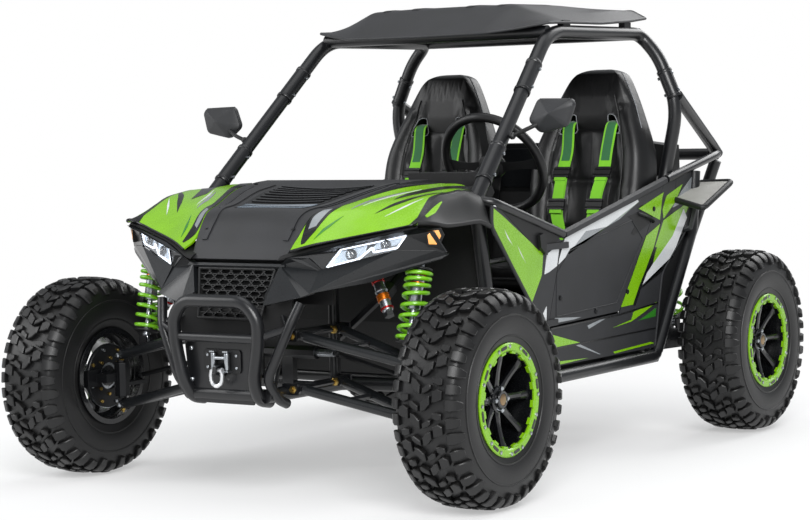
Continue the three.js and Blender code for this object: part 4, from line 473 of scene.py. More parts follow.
# each kind of knob: its height, then its stations across the tread; the last rows run down the shoulder
knobs = [
    (None, [(0.002, 0.0, 0.026), (0.018, 0.006, 0.04), (0.032, 0.02, 0.044)]),
    (None, [(0.006, 0.05, 0.066), (0.026, 0.058, 0.078), (0.034, 0.064, 0.076)]),
    (None, [(0.04, 0.028, 0.058), (0.056, 0.03, 0.066), (0.07, 0.036, 0.06)]),
    (0.014, [(0.041, 0.08, 0.096), (0.056, 0.074, 0.098), (0.068, 0.078, 0.094)]),
    (0.0125, [(0.077, 0.004, 0.036), (0.092, 0.002, 0.038), (0.106, 0.004, 0.036), (0.128, 0.01, 0.03)]),
    (0.0125, [(0.078, 0.052, 0.08), (0.092, 0.05, 0.084), (0.104, 0.052, 0.082), (0.116, 0.056, 0.078)]),
]


def tyreSection():
    half = tyre["section"]
    whole = np.concatenate([half, (half[::-1] * [-1, 1])[1:]])
    return curved(whole, 5)


section = tyreSection()
runLength = np.concatenate([[0], np.cumsum(np.linalg.norm(np.diff(section, axis=0), axis=1))])
runLength -= runLength[-1] / 2
sectionSlope = unit(np.gradient(section, axis=0))


def knobRow(stations, flip, shift, height):
    # each station is (distance from the tread's middle, start and end round the tread); its six corners stand
    # on the section at that distance, raised along the section's normal, and repeat once every pitch
    height = height or tyre["knobHeight"]
    soft = tyre["softEdge"]
    s, low, high = np.array(stations, dtype=float).T
    s = np.concatenate([s[:1], s[:1] + soft, s[1:-1], s[-1:] - soft, s[-1:]])
    low = np.concatenate([low[:1], low[:1], low[1:-1], low[-1:], low[-1:]])
    high = np.concatenate([high[:1], high[:1], high[1:-1], high[-1:], high[-1:]])
    top = np.full(len(s), height)
    top[[0, -1]] = height - soft
    root, shoulder = np.full(len(s), -tyre["knobRoot"]), np.full(len(s), height - soft)
    raised = np.stack([root, shoulder, top, top, shoulder, root], axis=1)
    along = np.stack([low, low, low + soft, high - soft, high, high], axis=1)
    place = flip * s[:, None] + 0 * along
    x = np.interp(place, runLength, section[:, 0])
    r = np.interp(place, runLength, section[:, 1])
    nx = -np.interp(place, runLength, sectionSlope[:, 1])
    nr = np.interp(place, runLength, sectionSlope[:, 0])
    x, r = x + nx * raised, r + nr * raised
    turn = 2 * math.pi * (np.arange(tyre["pitches"]) + shift) / tyre["pitches"]
    angle = (along / tyre["treadRadius"])[None] + turn[:, None, None]
    points = np.stack([np.broadcast_to(x, angle.shape), r * np.sin(angle), r * np.cos(angle)], axis=-1)
    return copies(points.reshape(len(turn), -1, 3), lofted(points[0])[1])


def tyreParts():
    inner = np.stack([section[:, 0] * 0.86, section[:, 1] - tyre["wall"]], axis=1)[::-1]
    inner[[0, -1], 1] = section[0, 1]
    loop = np.concatenate([section, inner, section[:1]])
    profile = np.stack([loop[:, 1], loop[:, 0]], axis=1)
    parts = [turned(profile, (0, 0, 0), (1, 0, 0), tyre["round"])]
    for ring in tyre["bandsAt"]:
        x = np.interp(ring, tyre["section"][:, 1], tyre["section"][:, 0])
        for way in (1, -1):
            band = lanes(*tyre["band"]) * [1, way] + [ring, way * x]
            parts.append(turned(band, (0, 0, 0), (1, 0, 0), tyre["round"]))
    for flip, half in ((1, 0.0), (-1, 0.5)):
        parts += [knobRow(stations, flip, half, height) for height, stations in knobs]
    return parts


# Rims: a turned barrel with a bolted ring, eight cast spokes, a cap and the brake disc behind
rim = {
    "bead": 0.152, "ring": 0.1695, "face": 0.106, "wall": 0.008, "hub": 0.034, "spokes": 8, "bolts": 16,
    "disc": 0.108, "discOffset": -0.084
}


def spun(part, count, start=0.0):
    # the part repeated at equal turns about the x axis: y' = y cos a - z sin a, z' = y sin a + z cos a
    points, faces = np.asarray(part[0]), part[1]
    a = start + 2 * math.pi * np.arange(count) / count
    y = points[None, :, 1] * np.cos(a)[:, None] - points[None, :, 2] * np.sin(a)[:, None]
    z = points[None, :, 1] * np.sin(a)[:, None] + points[None, :, 2] * np.cos(a)[:, None]
    return copies(np.stack([np.broadcast_to(points[:, 0], y.shape), y, z], axis=-1), faces)


def rimParts():
    bead, face, wall, origin, axis = rim["bead"], rim["face"], rim["wall"], (0, 0, 0), (1, 0, 0)
    barrel = [
        (bead - wall, -face), (bead + 0.009, -face), (bead + 0.01, -face + 0.004),
        (bead + 0.001, -face + 0.01), (bead - 0.001, -0.06), (bead - 0.016, -0.05), (bead - 0.016, 0.03),
        (bead - 0.004, 0.045), (bead - 0.001, face - 0.018), (bead - 0.002, face - 0.008),
        (bead - 0.012, face - 0.008), (bead - 0.014, 0.05), (bead - 0.025, 0.026), (bead - 0.025, -0.052),
        (bead - 0.01, -0.066), (bead - wall, -face),
    ]
    parts = [(turned(barrel, origin, axis, 64), "paintedWheel")]
    ringProfile = [
        (bead - 0.008, face - 0.012), (bead + 0.004, face - 0.012), (rim["ring"], face - 0.007),
        (rim["ring"] + 0.0005, face - 0.002), (rim["ring"] - 0.003, face + 0.001),
        (bead - 0.004, face + 0.001), (bead - 0.008, face - 0.003), (bead - 0.008, face - 0.012),
    ]
    parts.append((turned(ringProfile, origin, axis, 64), "lacqueredLime"))
    boltAt = (bead + rim["ring"]) / 2 - 0.001
    bolt = boltHead((face, 0, boltAt), axis, 0.0062, 0.004, 0.0035, 0.0052)
    parts.append((spun(bolt, rim["bolts"]), "brightZinc"))
    tooth = block((face - 0.012, -0.011, bead - 0.0145), (face - 0.001, 0.011, bead - 0.0075))
    betweenBolts = math.pi / rim["bolts"]
    parts.append((spun(tooth, rim["bolts"], betweenBolts), "lacqueredLime"))
    slotOutline = [
        (0.017, -0.0035), (0.013, -0.0062), (-0.013, -0.0062), (-0.017, -0.0035), (-0.014, 0.0035),
        (0.014, 0.0035)
    ]
    slot = slab(lanes(*[(face - 0.001, y, boltAt + z) for y, z in slotOutline]), (0.0032, 0, 0))
    parts.append((spun(slot, rim["bolts"] // 2, betweenBolts), "lacqueredBlack"))
    # a spoke's section runs from the hub to the barrel, dishing outwards; its face is narrower than its root
    r = np.array([0.024, 0.045, 0.08, 0.118, 0.146])
    x = np.array([0.062, 0.066, 0.07, 0.079, 0.088])
    half = np.array([0.0155, 0.0125, 0.01, 0.011, 0.017])
    deep = np.array([0.02, 0.017, 0.015, 0.015, 0.018])
    rings = np.stack([
        np.stack([x - deep, -half, r], axis=1), np.stack([x - deep, half, r], axis=1),
        np.stack([x - 0.004, half, r], axis=1), np.stack([x, half * 0.45, r], axis=1),
        np.stack([x, -half * 0.45, r], axis=1), np.stack([x - 0.004, -half, r], axis=1),
    ], axis=1)
    parts.append((spun(lofted(curved(rings, 4)), rim["spokes"]), "paintedWheel"))
    hub = [
        (0, -0.088), (rim["hub"], -0.088), (rim["hub"], 0.05), (0.04, 0.058), (0.039, 0.068), (0.03, 0.071),
        (0, 0.071)
    ]
    parts.append((turned(hub, origin, axis, 40), "paintedWheel"))
    collar = [
        (0, 0.069), (0.027, 0.069), (0.0275, 0.08), (0.025, 0.083), (0.019, 0.083), (0.018, 0.081),
        (0, 0.081)
    ]
    parts.append((turned(collar, origin, axis, 32), "paintedWheel"))
    cap = [(0, 0.08), (0.0172, 0.08), (0.0172, 0.0825), (0.012, 0.084), (0, 0.0845)]
    parts.append((turned(cap, origin, axis, 32), "anodisedBronze"))
    nut = boltHead((0.07, 0, 0.0325), axis, 0.0075, 0.01, 0.004, 0.013)
    parts.append((spun(nut, 4), "brightZinc"))
    disc = [
        (0.036, -0.0025), (rim["disc"], -0.0025), (rim["disc"], 0.0025), (0.036, 0.0025), (0.036, -0.0025)
    ]
    parts.append((turned(disc, (rim["discOffset"], 0, 0), axis, 48), "brightZinc"))
    return parts


tyreShapes, rimShapes = tyreParts(), rimParts()
wheels = {"x": 0.772, "y": 0.915, "z": 0.33}
for end, sign in (("front", -1), ("rear", 1)):
    for side, way in (("left", 1), ("right", -1)):
        place = np.array([wheels["x"] * way, wheels["y"] * sign, wheels["z"]])
        put = lambda points: np.asarray(points) * [way, 1, 1] + place
        body = f"front_{side}_wheel" if end == "front" else "rear_axle"
        name = f"{end}_{side}_tyre"
        piece(
            name + "_dressed", body, [(p, "curedRubber") for p in tyreShapes], [name], angle=30,
            turn=put
        )
        name = f"{end}_{side}_rim"
        piece(name + "_dressed", body, rimShapes, [name], angle=32, turn=put)
print("wheels made")


# Shocks: an upper body with its eye and perch, a rod with the lower eye and perch, and the coil between
shocks = {
    "front": {
        "top": (0.527, -0.842, 0.73), "low": (0.517, -0.915, 0.4623), "body": 0.15, "rod": 0.19,
        "eyeAxis": (0, 1, 0)
    },
    "rear": {
        "top": (0.52, 0.785, 0.8), "low": (0.52, 0.87, 0.388), "body": 0.23, "rod": 0.285,
        "eyeAxis": (1, 0, 0)
    },
}
# the coil's climb: shares of its turns, and the shares of its height that it has reached there
coilSizes = {
    "radius": 0.037, "wire": 0.0064, "curls": 8, "perCurl": 28, "perch": 0.028, "seat": 0.0067,
    "lowEye": 0.0062, "turns": (0, 0.08, 0.38, 0.93, 1), "climb": (0, 0.035, 0.27, 0.975, 1),
}


def eyePart(centre, axis, radius=0.0138, half=0.0098):
    # an eye: a short ring round its bolt, with broken edges
    bore, edge = 0.007, 0.001
    outer = [(radius - edge, -half), (radius, edge - half), (radius, half - edge), (radius - edge, half)]
    return turned([(bore, -half), *outer, (bore, half), (bore, -half)], centre, axis, 24)


def buildShocks(side, turn):
    for end, size in shocks.items():
        top, low = np.array(size["top"]), np.array(size["low"])
        down = unit(low - top)
        name = f"{end}_{side}_shock"
        length, perch = size["body"], coilSizes["perch"]
        can = [
            (0, 0.01), (0.012, 0.01), (0.014, 0.018), (0.019, 0.02), (0.0205, 0.03),
            (0.0205, length - 0.004), (0.0185, length), (0, length)
        ]
        collar = [
            (0.018, perch - 0.007), (0.038, perch - 0.007), (0.04, perch - 0.005), (0.04, perch - 0.001),
            (0.026, perch), (0.018, perch), (0.018, perch - 0.007)
        ]
        rings = [
            [(0.018, d), (0.0222, d), (0.0222, d + 0.004), (0.018, d + 0.004), (0.018, d)]
            for d in (0.042, 0.054, 0.066)
        ]
        parts = [(turned(can, top, down, 28), "brightZinc"), (turned(collar, top, down, 32), "mouldedBlack")]
        parts.append((eyePart(top, (1, 0, 0)), "brightZinc"))
        parts += [(turned(ring, top, down, 28), "anodisedOrange") for ring in rings]
        piece(name + "_body_dressed", name + "_body", parts, [name + "_body"], turn=turn)
        reach = size["rod"]
        stem = [(0, -reach), (0.0088, -reach), (0.0088, -0.034), (0.013, -0.032), (0.013, -0.01), (0, -0.01)]
        cup = [
            (0, -perch), (0.026, -perch), (0.04, -perch + 0.001), (0.04, -perch + 0.006),
            (0.03, -perch + 0.008), (0, -perch + 0.01)
        ]
        parts = [(turned(stem, low, down, 24), "brightZinc"), (turned(cup, low, down, 32), "mouldedBlack")]
        parts.append((eyePart(low, size["eyeAxis"], half=coilSizes["lowEye"]), "brightZinc"))
        piece(name + "_rod_dressed", name + "_rod", parts, [name + "_rod"], turn=turn)
        # the coil: start + (stop - start) climb + radius (u cos a + v sin a), where the angle a grows evenly;
        # the climb eases at both ends, so that the last half curl lies on its perch
        start, stop = top + down * (perch + coilSizes["seat"]), low - down * (perch + coilSizes["seat"])
        t = np.linspace(0, 1, coilSizes["curls"] * coilSizes["perCurl"] + 1)
        climb = np.interp(t, coilSizes["turns"], coilSizes["climb"])
        u = unit(np.cross([1, 0, 0], down))
        v = np.cross(down, u)
        angle = 2 * math.pi * coilSizes["curls"] * t
        ring = u * np.cos(angle)[:, None] + v * np.sin(angle)[:, None]
        path = start + (stop - start) * climb[:, None] + coilSizes["radius"] * ring
        coil = f"{end}_{side}_spring"
        parts = [(tube(path, coilSizes["wire"], 10), "coatedSpring")]
        spring = piece(coil + "_dressed", None, parts, [coil], turn=turn)
        tuple(turn(start))
        tuple(turn(stop))
        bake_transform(spring)


bothSides(buildShocks)
print("shocks made")


# Roll cage: bent tubes with clamp sleeves and bolted joints
cage = {
    "tube": 0.024, "brace": 0.022, "rail": 0.015,
    "hoop": mm(
        (537, -538, 905), (462, 70, 1448), (462, 735, 1452), (535, 738, 1372), (614, 735, 1190),
        (558, 735, 940), (564, 600, 620), (566, 500, 318)
    ),
    "frontLeg": mm((537, -538, 905), (545, -500, 620), (562, -400, 318)),
    "braceLine": mm((610, 738, 1225), (560, 1120, 1040), (560, 1170, 1004)),
    "beltRear": mm((600, 660, 926), (600, 1080, 1004), (560, 1170, 1004)),
    "beltFront": mm((537, -538, 905), (598, -520, 893), (600, -98, 772)),
    "sleeves": ((0.1, 0.3), (0.62, 0.8)),
}


def clampSleeve(line, start, end, radius):
    # a split sleeve with a lip at each end and two pinch bolts
    a, b = line[0] + (line[1] - line[0]) * start, line[0] + (line[1] - line[0]) * end
    long = np.linalg.norm(b - a)
    axis = (b - a) / long
    lip = radius + 0.0045
    bore = radius - 0.002
    rise = [(bore, 0), (lip - 0.001, 0), (lip, 0.002), (lip, 0.01), (lip - 0.002, 0.013)]
    profile = rise + [(r, long - d) for r, d in rise[::-1]] + rise[:1]
    parts = [(turned(profile, a, axis, 28), "powderCoatedTube")]
    side = unit(np.cross(axis, [1, 0, 0]))
    for share in (0.2, 0.8):
        middle = a + axis * long * share + side * radius * 0.2
        for outward in (np.cross(side, axis), -np.cross(side, axis)):
            parts.append((
                boltHead(middle + outward * (lip - 0.002), outward, 0.006, 0.005, 0.003, 0.0065),
                "brightZinc"
            ))
    return parts


def cageParts():
    hoop = filleted(cage["hoop"], 0.09, 9)
    lines = [
        (hoop, cage["tube"], 20), (cage["frontLeg"], cage["tube"], 20),
        (filleted(cage["braceLine"], 0.03), cage["brace"], 18),
        (filleted(cage["beltRear"], 0.08), cage["rail"], 16),
        (filleted(cage["beltFront"], 0.05), cage["rail"], 16),
    ]
    parts = [(tube(path, radius, sides), "powderCoatedTube") for path, radius, sides in lines]
    pillar = cage["hoop"][:2]
    for start, end in cage["sleeves"]:
        parts += clampSleeve(pillar, start, end, cage["tube"])
    parts += clampSleeve(cage["hoop"][3:5], 0.3, 0.85, cage["tube"])
    foot = pillar[0] + (pillar[1] - pillar[0]) * 0.36
    parts.append((tube([foot, foot + [cage["tube"], 0, 0]], 0.008), "powderCoatedTube"))
    return parts


crossings = [
    cage["hoop"][1], cage["hoop"][2], cage["hoop"][0] * 7 / 8 + cage["frontLeg"][1] / 8, cage["braceLine"][2]
]
cageAll = twoSided(cageParts()) + [
    (tube([p, mirrored(p)], cage["brace"], 18), "powderCoatedTube")
    for p in crossings
]
piece("roll_cage_dressed", "chassis", cageAll, ["roll_cage"], angle=30)


# Chassis and bumper: round tubes laid over the plain ones of the frame, and the plates and lugs between them
chassis = {
    "frame": 0.0224, "small": 0.0144,
    "mainRail": mm(
        (150, -1145, 330), (150, -740, 326), (330, -520, 300), (330, 240, 300), (330, 440, 470),
        (330, 1130, 480)
    ),
    "nerf": mm(
        (330, -400, 300), (560, -400, 300), (600, -370, 302), (600, 554, 298), (600, 862, 735),
        (600, 890, 948)
    ),
    "upperFront": mm(
        (150, -1120, 332), (150, -1050, 520), (150, -1000, 690), (150, -850, 765), (150, -700, 765),
        (290, -566, 850)
    ),
    "rearLeg": mm((556, 1162, 980), (430, 1150, 640), (330, 1115, 482)),
    "tower": mm((330, 700, 474), (455, 785, 815), (520, 785, 836)),
    "post": mm((150, -785, 343), (150, -785, 766)),
    "damper": mm((338, -855, 760), (448, -902, 562)),
    "damperRadius": 0.0176,
    # bright rings on the damper: each is a share of its length, how wide it is in metres, and its finish
    "damperRings": (
        (0.16, 0.016, "anodisedRed"), (0.34, 0.01, "anodisedOrange"), (0.46, 0.018, "anodisedRed"),
        (0.62, 0.006, "brightZinc"), (0.72, 0.022, "anodisedOrange"), (0.88, 0.006, "anodisedRed"),
    ),
    "across": [
        ((0.15, -1.145, 0.33), 0.0224), ((0.33, -0.4, 0.3), 0.0224), ((0.6, 0.225, 0.3), 0.0224),
        ((0.543, -0.842, 0.766), 0.0144), ((0.536, 0.785, 0.836), 0.0144)
    ],
}


def chassisParts():
    lines = [
        ("mainRail", "frame"), ("nerf", "frame"), ("upperFront", "small"), ("rearLeg", "frame"),
        ("tower", "small"), ("post", "small")
    ]
    parts = [
        (tube(filleted(chassis[line], 0.025, 4), chassis[size], 16), "powderCoatedTube")
        for line, size in lines
    ]
    top, low = chassis["damper"]
    down = unit(low - top)
    long = np.linalg.norm(low - top)
    radius = chassis["damperRadius"]
    can = [
        (0, 0.012), (0.014, 0.012), (radius, 0.02), (radius, long - 0.02), (0.012, long - 0.012),
        (0, long - 0.012)
    ]
    parts.append((turned(can, top, down, 28), "brightZinc"))
    for share, wide, look in chassis["damperRings"]:
        low, high = long * share - wide / 2, long * share + wide / 2
        root, crest = radius - 0.002, radius + 0.003
        ring = [
            (root, low), (crest - 0.0008, low), (crest, low + 0.001), (crest, high - 0.001),
            (crest - 0.0008, high), (root, high), (root, low),
        ]
        parts.append((turned(ring, top, down, 28), look))
    return parts


chassisAll = twoSided(chassisParts())
chassisAll += [(tube([p, mirrored(p)], radius, 16), "powderCoatedTube") for p, radius in chassis["across"]]
piece("chassis_tubes", "chassis", chassisAll, (), angle=30)

bumper = {
    "hoop": mm(
        (128, -1096, 308), (130, -1150, 318), (136, -1188, 376), (161, -1191, 490), (164, -1194, 568),
        (116, -1200, 622)
    ),
    "brace": mm(
        (174, -1070, 300), (174, -1110, 316), (174, -1168, 384), (246, -1150, 540), (270, -1118, 616)
    ),
    "link": mm((160, -1188, 512), (246, -1150, 540), (170, -1080, 580)),
    "cross": mm(160, -1188, 508),
    "plateAt": -1.1585,
}


def buildBumper():
    # the hoop goes round from side to side; the braces, links and cross tube stand on either side of it
    half = bumper["hoop"]
    hoopPath = filleted(np.concatenate([half, mirrored(half)[::-1]]), 0.036, 6)
    parts = [(tube(hoopPath, 0.0202, 20), "powderCoatedTube")]
    sides = [(filleted(bumper["brace"], 0.026), 0.0158), (bumper["link"], 0.0125)]
    parts += twoSided([(tube(path, radius, 14), "powderCoatedTube") for path, radius in sides])
    parts.append((tube([bumper["cross"], mirrored(bumper["cross"])], 0.0142, 14), "powderCoatedTube"))
    plate = [(0.112, 0.302), (0.138, 0.36), (0.15, 0.48), (0.138, 0.494)]
    parts.append((slab(frontOutline(bumper["plateAt"], plate), (0, 0.009, 0)), "powderCoatedTube"))
    for x in (-0.124, 0.124):
        for z in (0.372, 0.47):
            parts.append((
                boltHead((x, bumper["plateAt"], z), (0, -1, 0), 0.008, 0.004, 0.005, 0.006), "brightZinc"
            ))
    lug = onLevel(-7, (-1208, 400), (-1204, 420), (-1158, 430), (-1158, 388), (-1200, 394))
    parts.append((slab(lug, (0.014, 0, 0)), "powderCoatedTube"))
    # the fairlead: a black recessed plate that carries two upright silver rollers and a cross roller
    recess = [(0.066, 0.398), (0.072, 0.406), (0.072, 0.462), (0.066, 0.47)]
    parts.append((slab(frontOutline(bumper["plateAt"] - 0.002, recess), (0, -0.004, 0)), "mouldedBlack"))
    roller = [(0, 0), (0.0075, 0), (0.0085, 0.003), (0.0085, 0.049), (0.0075, 0.052), (0, 0.052)]
    screw = [(0, 0), (0.005, 0), (0.005, 0.003), (0, 0.004)]
    for x in (0.026, -0.026):
        parts.append((turned(roller, (x, -1.174, 0.408), (0, 0, 1), 20), "brightZinc"))
        for z in (0.401, 0.462):
            parts.append((block((x - 0.01, -1.184, z), (x + 0.01, -1.164, z + 0.005)), "brightZinc"))
    for x in (0.056, -0.056):
        for z in (0.414, 0.452):
            parts.append((turned(screw, (x, -1.1642, z), (0, -1, 0), 6), "brightZinc"))
    crossRoller = [(0, 0), (0.006, 0), (0.006, 0.04), (0, 0.04)]
    parts.append((turned(crossRoller, (-0.02, -1.174, 0.444), (1, 0, 0), 16), "brightZinc"))
    piece("front_bumper_dressed", "chassis", parts, ["front_bumper"], bevel=0.001, angle=30)


buildBumper()
print("cage, chassis and bumper made")


def refined(table, steps):
    # a coarse grid of control points smoothed both ways
    return curved(curved(table, steps), steps, axis=1)


def sampled(grid, rows, columns):
    # bilinear reading of a grid at fractional row and column shares from 0 to 1
    last = np.array(grid.shape[:2]) - 1
    r, c = np.clip(rows, 0, 1) * last[0], np.clip(columns, 0, 1) * last[1]
    i, j = np.minimum(r.astype(int), last[0] - 1), np.minimum(c.astype(int), last[1] - 1)
    a, b = (r - i)[..., None], (c - j)[..., None]
    near = grid[i, j] * (1 - a) + grid[i + 1, j] * a
    far = grid[i, j + 1] * (1 - a) + grid[i + 1, j + 1] * a
    return near * (1 - b) + far * b


def overlay(grid, edgeA, edgeB, lift, thickness=0.0012, counts=(28, 10)):
    # a thin film on a surface, between two edges given as (row, column) shares; each edge is resampled evenly
    ends = []
    for edge in (edgeA, edgeB):
        edge = np.array(edge, dtype=float)
        share = np.linspace(0, 1, len(edge))
        t = np.linspace(0, 1, counts[0])
        ends.append(np.stack([np.interp(t, share, edge[:, 0]), np.interp(t, share, edge[:, 1])], axis=-1))
    w = np.linspace(0, 1, counts[1])[None, :, None]
    place = ends[0][:, None] * (1 - w) + ends[1][:, None] * w
    return skin(sampled(grid, place[..., 0], place[..., 1]), thickness, lift)


# the lacquers of the panels and their films, under short names
lime, black, grey, white = "lacqueredLime", "lacqueredBlack", "lacqueredGrey", "lacqueredWhite"

# Front fenders: a lime shell with a dark outer cowl, black slashes and pale streaks that follow its surface
fender = {
    "table": np.stack([
        mm(
            (209, -1082, 772), (270, -1045, 790), (340, -1004, 804), (440, -956, 824), (530, -914, 842),
            (570, -924, 852)
        ),
        mm(
            (199, -1032, 803), (262, -985, 836), (340, -930, 856), (440, -882, 872), (532, -852, 880),
            (596, -878, 850)
        ),
        mm(
            (215, -958, 876), (272, -915, 884), (345, -852, 900), (440, -802, 912), (540, -772, 916),
            (601, -800, 840)
        ),
        mm(
            (251, -850, 902), (295, -800, 916), (360, -740, 926), (452, -702, 932), (552, -690, 926),
            (603, -700, 842)
        ),
        mm(
            (297, -700, 942), (332, -670, 946), (390, -630, 946), (466, -612, 944), (562, -622, 928),
            (603, -620, 842)
        ),
        mm(
            (310, -590, 960), (352, -560, 958), (410, -532, 955), (480, -512, 948), (566, -548, 906),
            (603, -560, 824)
        ),
    ]),
    "wall": 0.006,
}
outerEdge = [(row, 5) for row in range(6)]
# each film: finish, lift in mm, and its two edges as (row, column) numbers of the table above
fenderFilms = [
    ("mouldedBlack", 1.4, [(0, 4.3), (0.6, 4.45), (1.3, 4.2), (2, 3.95), (3.3, 3.95), (5, 3.75)], outerEdge),
    (black, 0.8, [(0, 4.05), (0.6, 4.15), (1.3, 3.95), (2, 3.75), (3.3, 3.75), (5, 3.55)], outerEdge),
    (lime, 2, [(0.9, 4.42), (1.5, 4.28), (2.1, 4.2)], [(0.9, 4.6), (1.5, 4.52), (2.1, 4.24)]),
    (
        black, 0.9, [(0.25, 0.55), (0.9, 0.75), (1.6, 0.8), (2.3, 0.75), (3, 0.35)],
        [(0.25, 0.4), (0.9, 0.25), (1.6, 0), (2.3, 0), (3, 0)]
    ),
    (grey, 1.4, [(1.3, 0.62), (1.8, 0.62), (2.3, 0.5)], [(1.3, 0.3), (1.8, 0.12), (2.3, 0.1)]),
    (
        black, 0.9, [(1.2, 2.5), (1.8, 3.1), (2.4, 3.55), (3, 3.85)],
        [(1.2, 2.5), (1.8, 2.8), (2.4, 3.25), (3, 3.85)]
    ),
    (black, 0.9, [(2.2, 2.6), (3, 3), (4, 3.4), (5, 3.6)], [(2.2, 2.6), (3, 2.45), (4, 2.75), (5, 3.1)]),
    (black, 0.9, [(2.6, 0.55), (3.4, 0.9), (4.2, 1.4), (5, 1.9)], [(2.6, 0), (3.4, 0), (4.2, 0), (5, 0)]),
    (grey, 1.3, [(1.9, 1.5), (2.6, 1.9), (3.4, 2.2)], [(1.9, 1.5), (2.6, 1.55), (3.4, 2.2)]),
    (white, 1.3, [(2, 1.8), (2.8, 2.2), (3.6, 2.5)], [(2, 1.8), (2.8, 2.05), (3.6, 2.5)]),
    (white, 1.3, [(0.9, 2.9), (1.4, 3.35), (1.9, 3.65)], [(0.9, 2.9), (1.4, 3.22), (1.9, 3.65)]),
    ("lacqueredDarkGreen", 1.1, [(0.3, 0.9), (0.9, 1.3), (1.5, 1.5)], [(0.3, 0.9), (0.9, 1.08), (1.5, 1.5)]),
]


def buildFender(side, turn):
    grid = refined(fender["table"], 8)
    parts = [(skin(grid, fender["wall"]), lime)]
    last = len(fender["table"]) - 1
    for look, lift, edgeA, edgeB in fenderFilms:
        a, b = np.array(edgeA) / last, np.array(edgeB) / last
        parts.append((overlay(grid, a, b, lift / 1000, 0.0016), look))
    # a rolled lip along the outer edge, and a shut line where the cowl begins
    parts.append((tube(grid[:, -1] + [0, 0, -0.003], 0.0072, 12), "mouldedBlack"))
    parts.append((tube(grid[0] + [0, 0.001, -0.002], 0.0035, 8), black))
    name = f"front_{side}_fender"
    piece(name + "_dressed", "chassis", parts, [name], angle=28, turn=turn)


bothSides(buildFender)


# Hood: a creased charcoal shell with a silvered strip, a louvred recess behind it and two raised ribs
hood = {
    "edge": mm(
        (180, -1076, 742), (196, -1026, 806), (211, -958, 876), (247, -850, 902), (293, -700, 942),
        (306, -590, 960), (330, -478, 966)
    ),
    "crown": np.array([0, 3, 4.5, -3, -9, -12, 0]) / 1000,
    "wall": 0.006,
    "slats": 8,
}
# each film: finish, lift in mm, thickness in metres, how many points along and across it, and its two edges
# as (x, y) in mm, seen from above
hoodFilms = [
    (
        "silveredStrip", 3, 0.004, (24, 10), [(-128, -904), (0, -906), (128, -904)],
        [(-142, -842), (0, -842), (142, -842)]
    ),
    (
        black, 1.6, 0.003, (24, 10), [(-136, -910), (0, -912), (136, -910)],
        [(-150, -836), (0, -836), (150, -836)]
    ),
    (
        "mouldedBlack", 1.2, 0.003, (24, 24), [(-156, -834), (0, -834), (156, -834)],
        [(-196, -570), (0, -566), (196, -570)]
    ),
]
# the same for the left side's rib and shut line, which are mirrored
hoodRibs = [
    (
        "mouldedCharcoal", 4.2, 0.006, (30, 7),
        [(150, -1035), (148, -985), (166, -915), (178, -830), (206, -700), (222, -575)],
        [(168, -1035), (170, -985), (188, -915), (208, -830), (246, -700), (262, -575)],
    ),
    (
        black, 2.2, 0.003, (24, 4), [(196, -900), (226, -790), (262, -640)],
        [(206, -900), (238, -790), (276, -640)]
    ),
]


def hoodGrid():
    # height over the centre: z = edge + 2 crown (1 - share squared)
    edge, crown = hood["edge"], hood["crown"]
    share = np.linspace(-1, 1, 9)
    x = edge[:, :1] * share
    y = np.broadcast_to(edge[:, 1:2], x.shape)
    z = edge[:, 2:3] + 2 * crown[:, None] * (1 - share**2)
    return refined(np.stack([x, y, z], axis=-1), 6)


def buildHood():
    grid = hoodGrid()

    def at(y, x):
        # shares of the hood's grid for a place seen from above
        r = np.interp(y, grid[:, 0, 1], np.linspace(0, 1, len(grid)))
        half = np.interp(y, grid[:, -1, 1], grid[:, -1, 0])
        return r, (x / half + 1) / 2

    def film(outlineA, outlineB, lift, look, thickness, counts):
        a = [at(y / 1000, x / 1000) for x, y in outlineA]
        b = [at(y / 1000, x / 1000) for x, y in outlineB]
        return overlay(grid, a, b, lift / 1000, thickness, counts), look

    parts = [(skin(grid, hood["wall"]), "mouldedCharcoal")]
    for look, lift, thick, counts, edgeA, edgeB in hoodFilms:
        parts.append(film(edgeA, edgeB, lift, look, thick, counts))
    for k in range(hood["slats"]):
        y, half, lift = -816 + k * 31, 138 + k * 6, 5.0 + 0.25 * k
        front = [(-half, y), (0, y - 3), (half, y)]
        back = [(-half - 3, y + 15), (0, y + 12), (half + 3, y + 15)]
        parts.append(film(front, back, lift, black, 0.0035, (24, 5)))
        front = [(x, y + 1) for x, y in front]
        back = [(x, y + 4) for x, y in front]
        parts.append(film(front, back, lift + 1.2, "mouldedCharcoal", 0.0022, (24, 3)))
    for way in (1, -1):
        for look, lift, thick, counts, edgeA, edgeB in hoodRibs:
            sideA, sideB = ([(way * x, y) for x, y in edge] for edge in (edgeA, edgeB))
            parts.append(film(sideA, sideB, lift, look, thick, counts))
        for x, y in ((168, -1008), (286, -600)):
            r, c = at(y / 1000, way * x / 1000)
            place = sampled(grid, np.array([r]), np.array([c]))[0]
            parts.append((boltHead(place, (0, -0.2, 1), 0.007, 0.003, 0.004, 0.0045, 12), "blackSteel"))
    piece("hood_dressed", "chassis", parts, ["hood"], angle=30)


buildHood()


# Grille: flat six-sided cells in a leaning trapezium
grille = {
    "top": (0.148, -1.078, 0.712), "low": (0.121, -1.124, 0.562), "columns": 7, "rows": 9, "wall": 0.003,
    "depth": 0.012
}


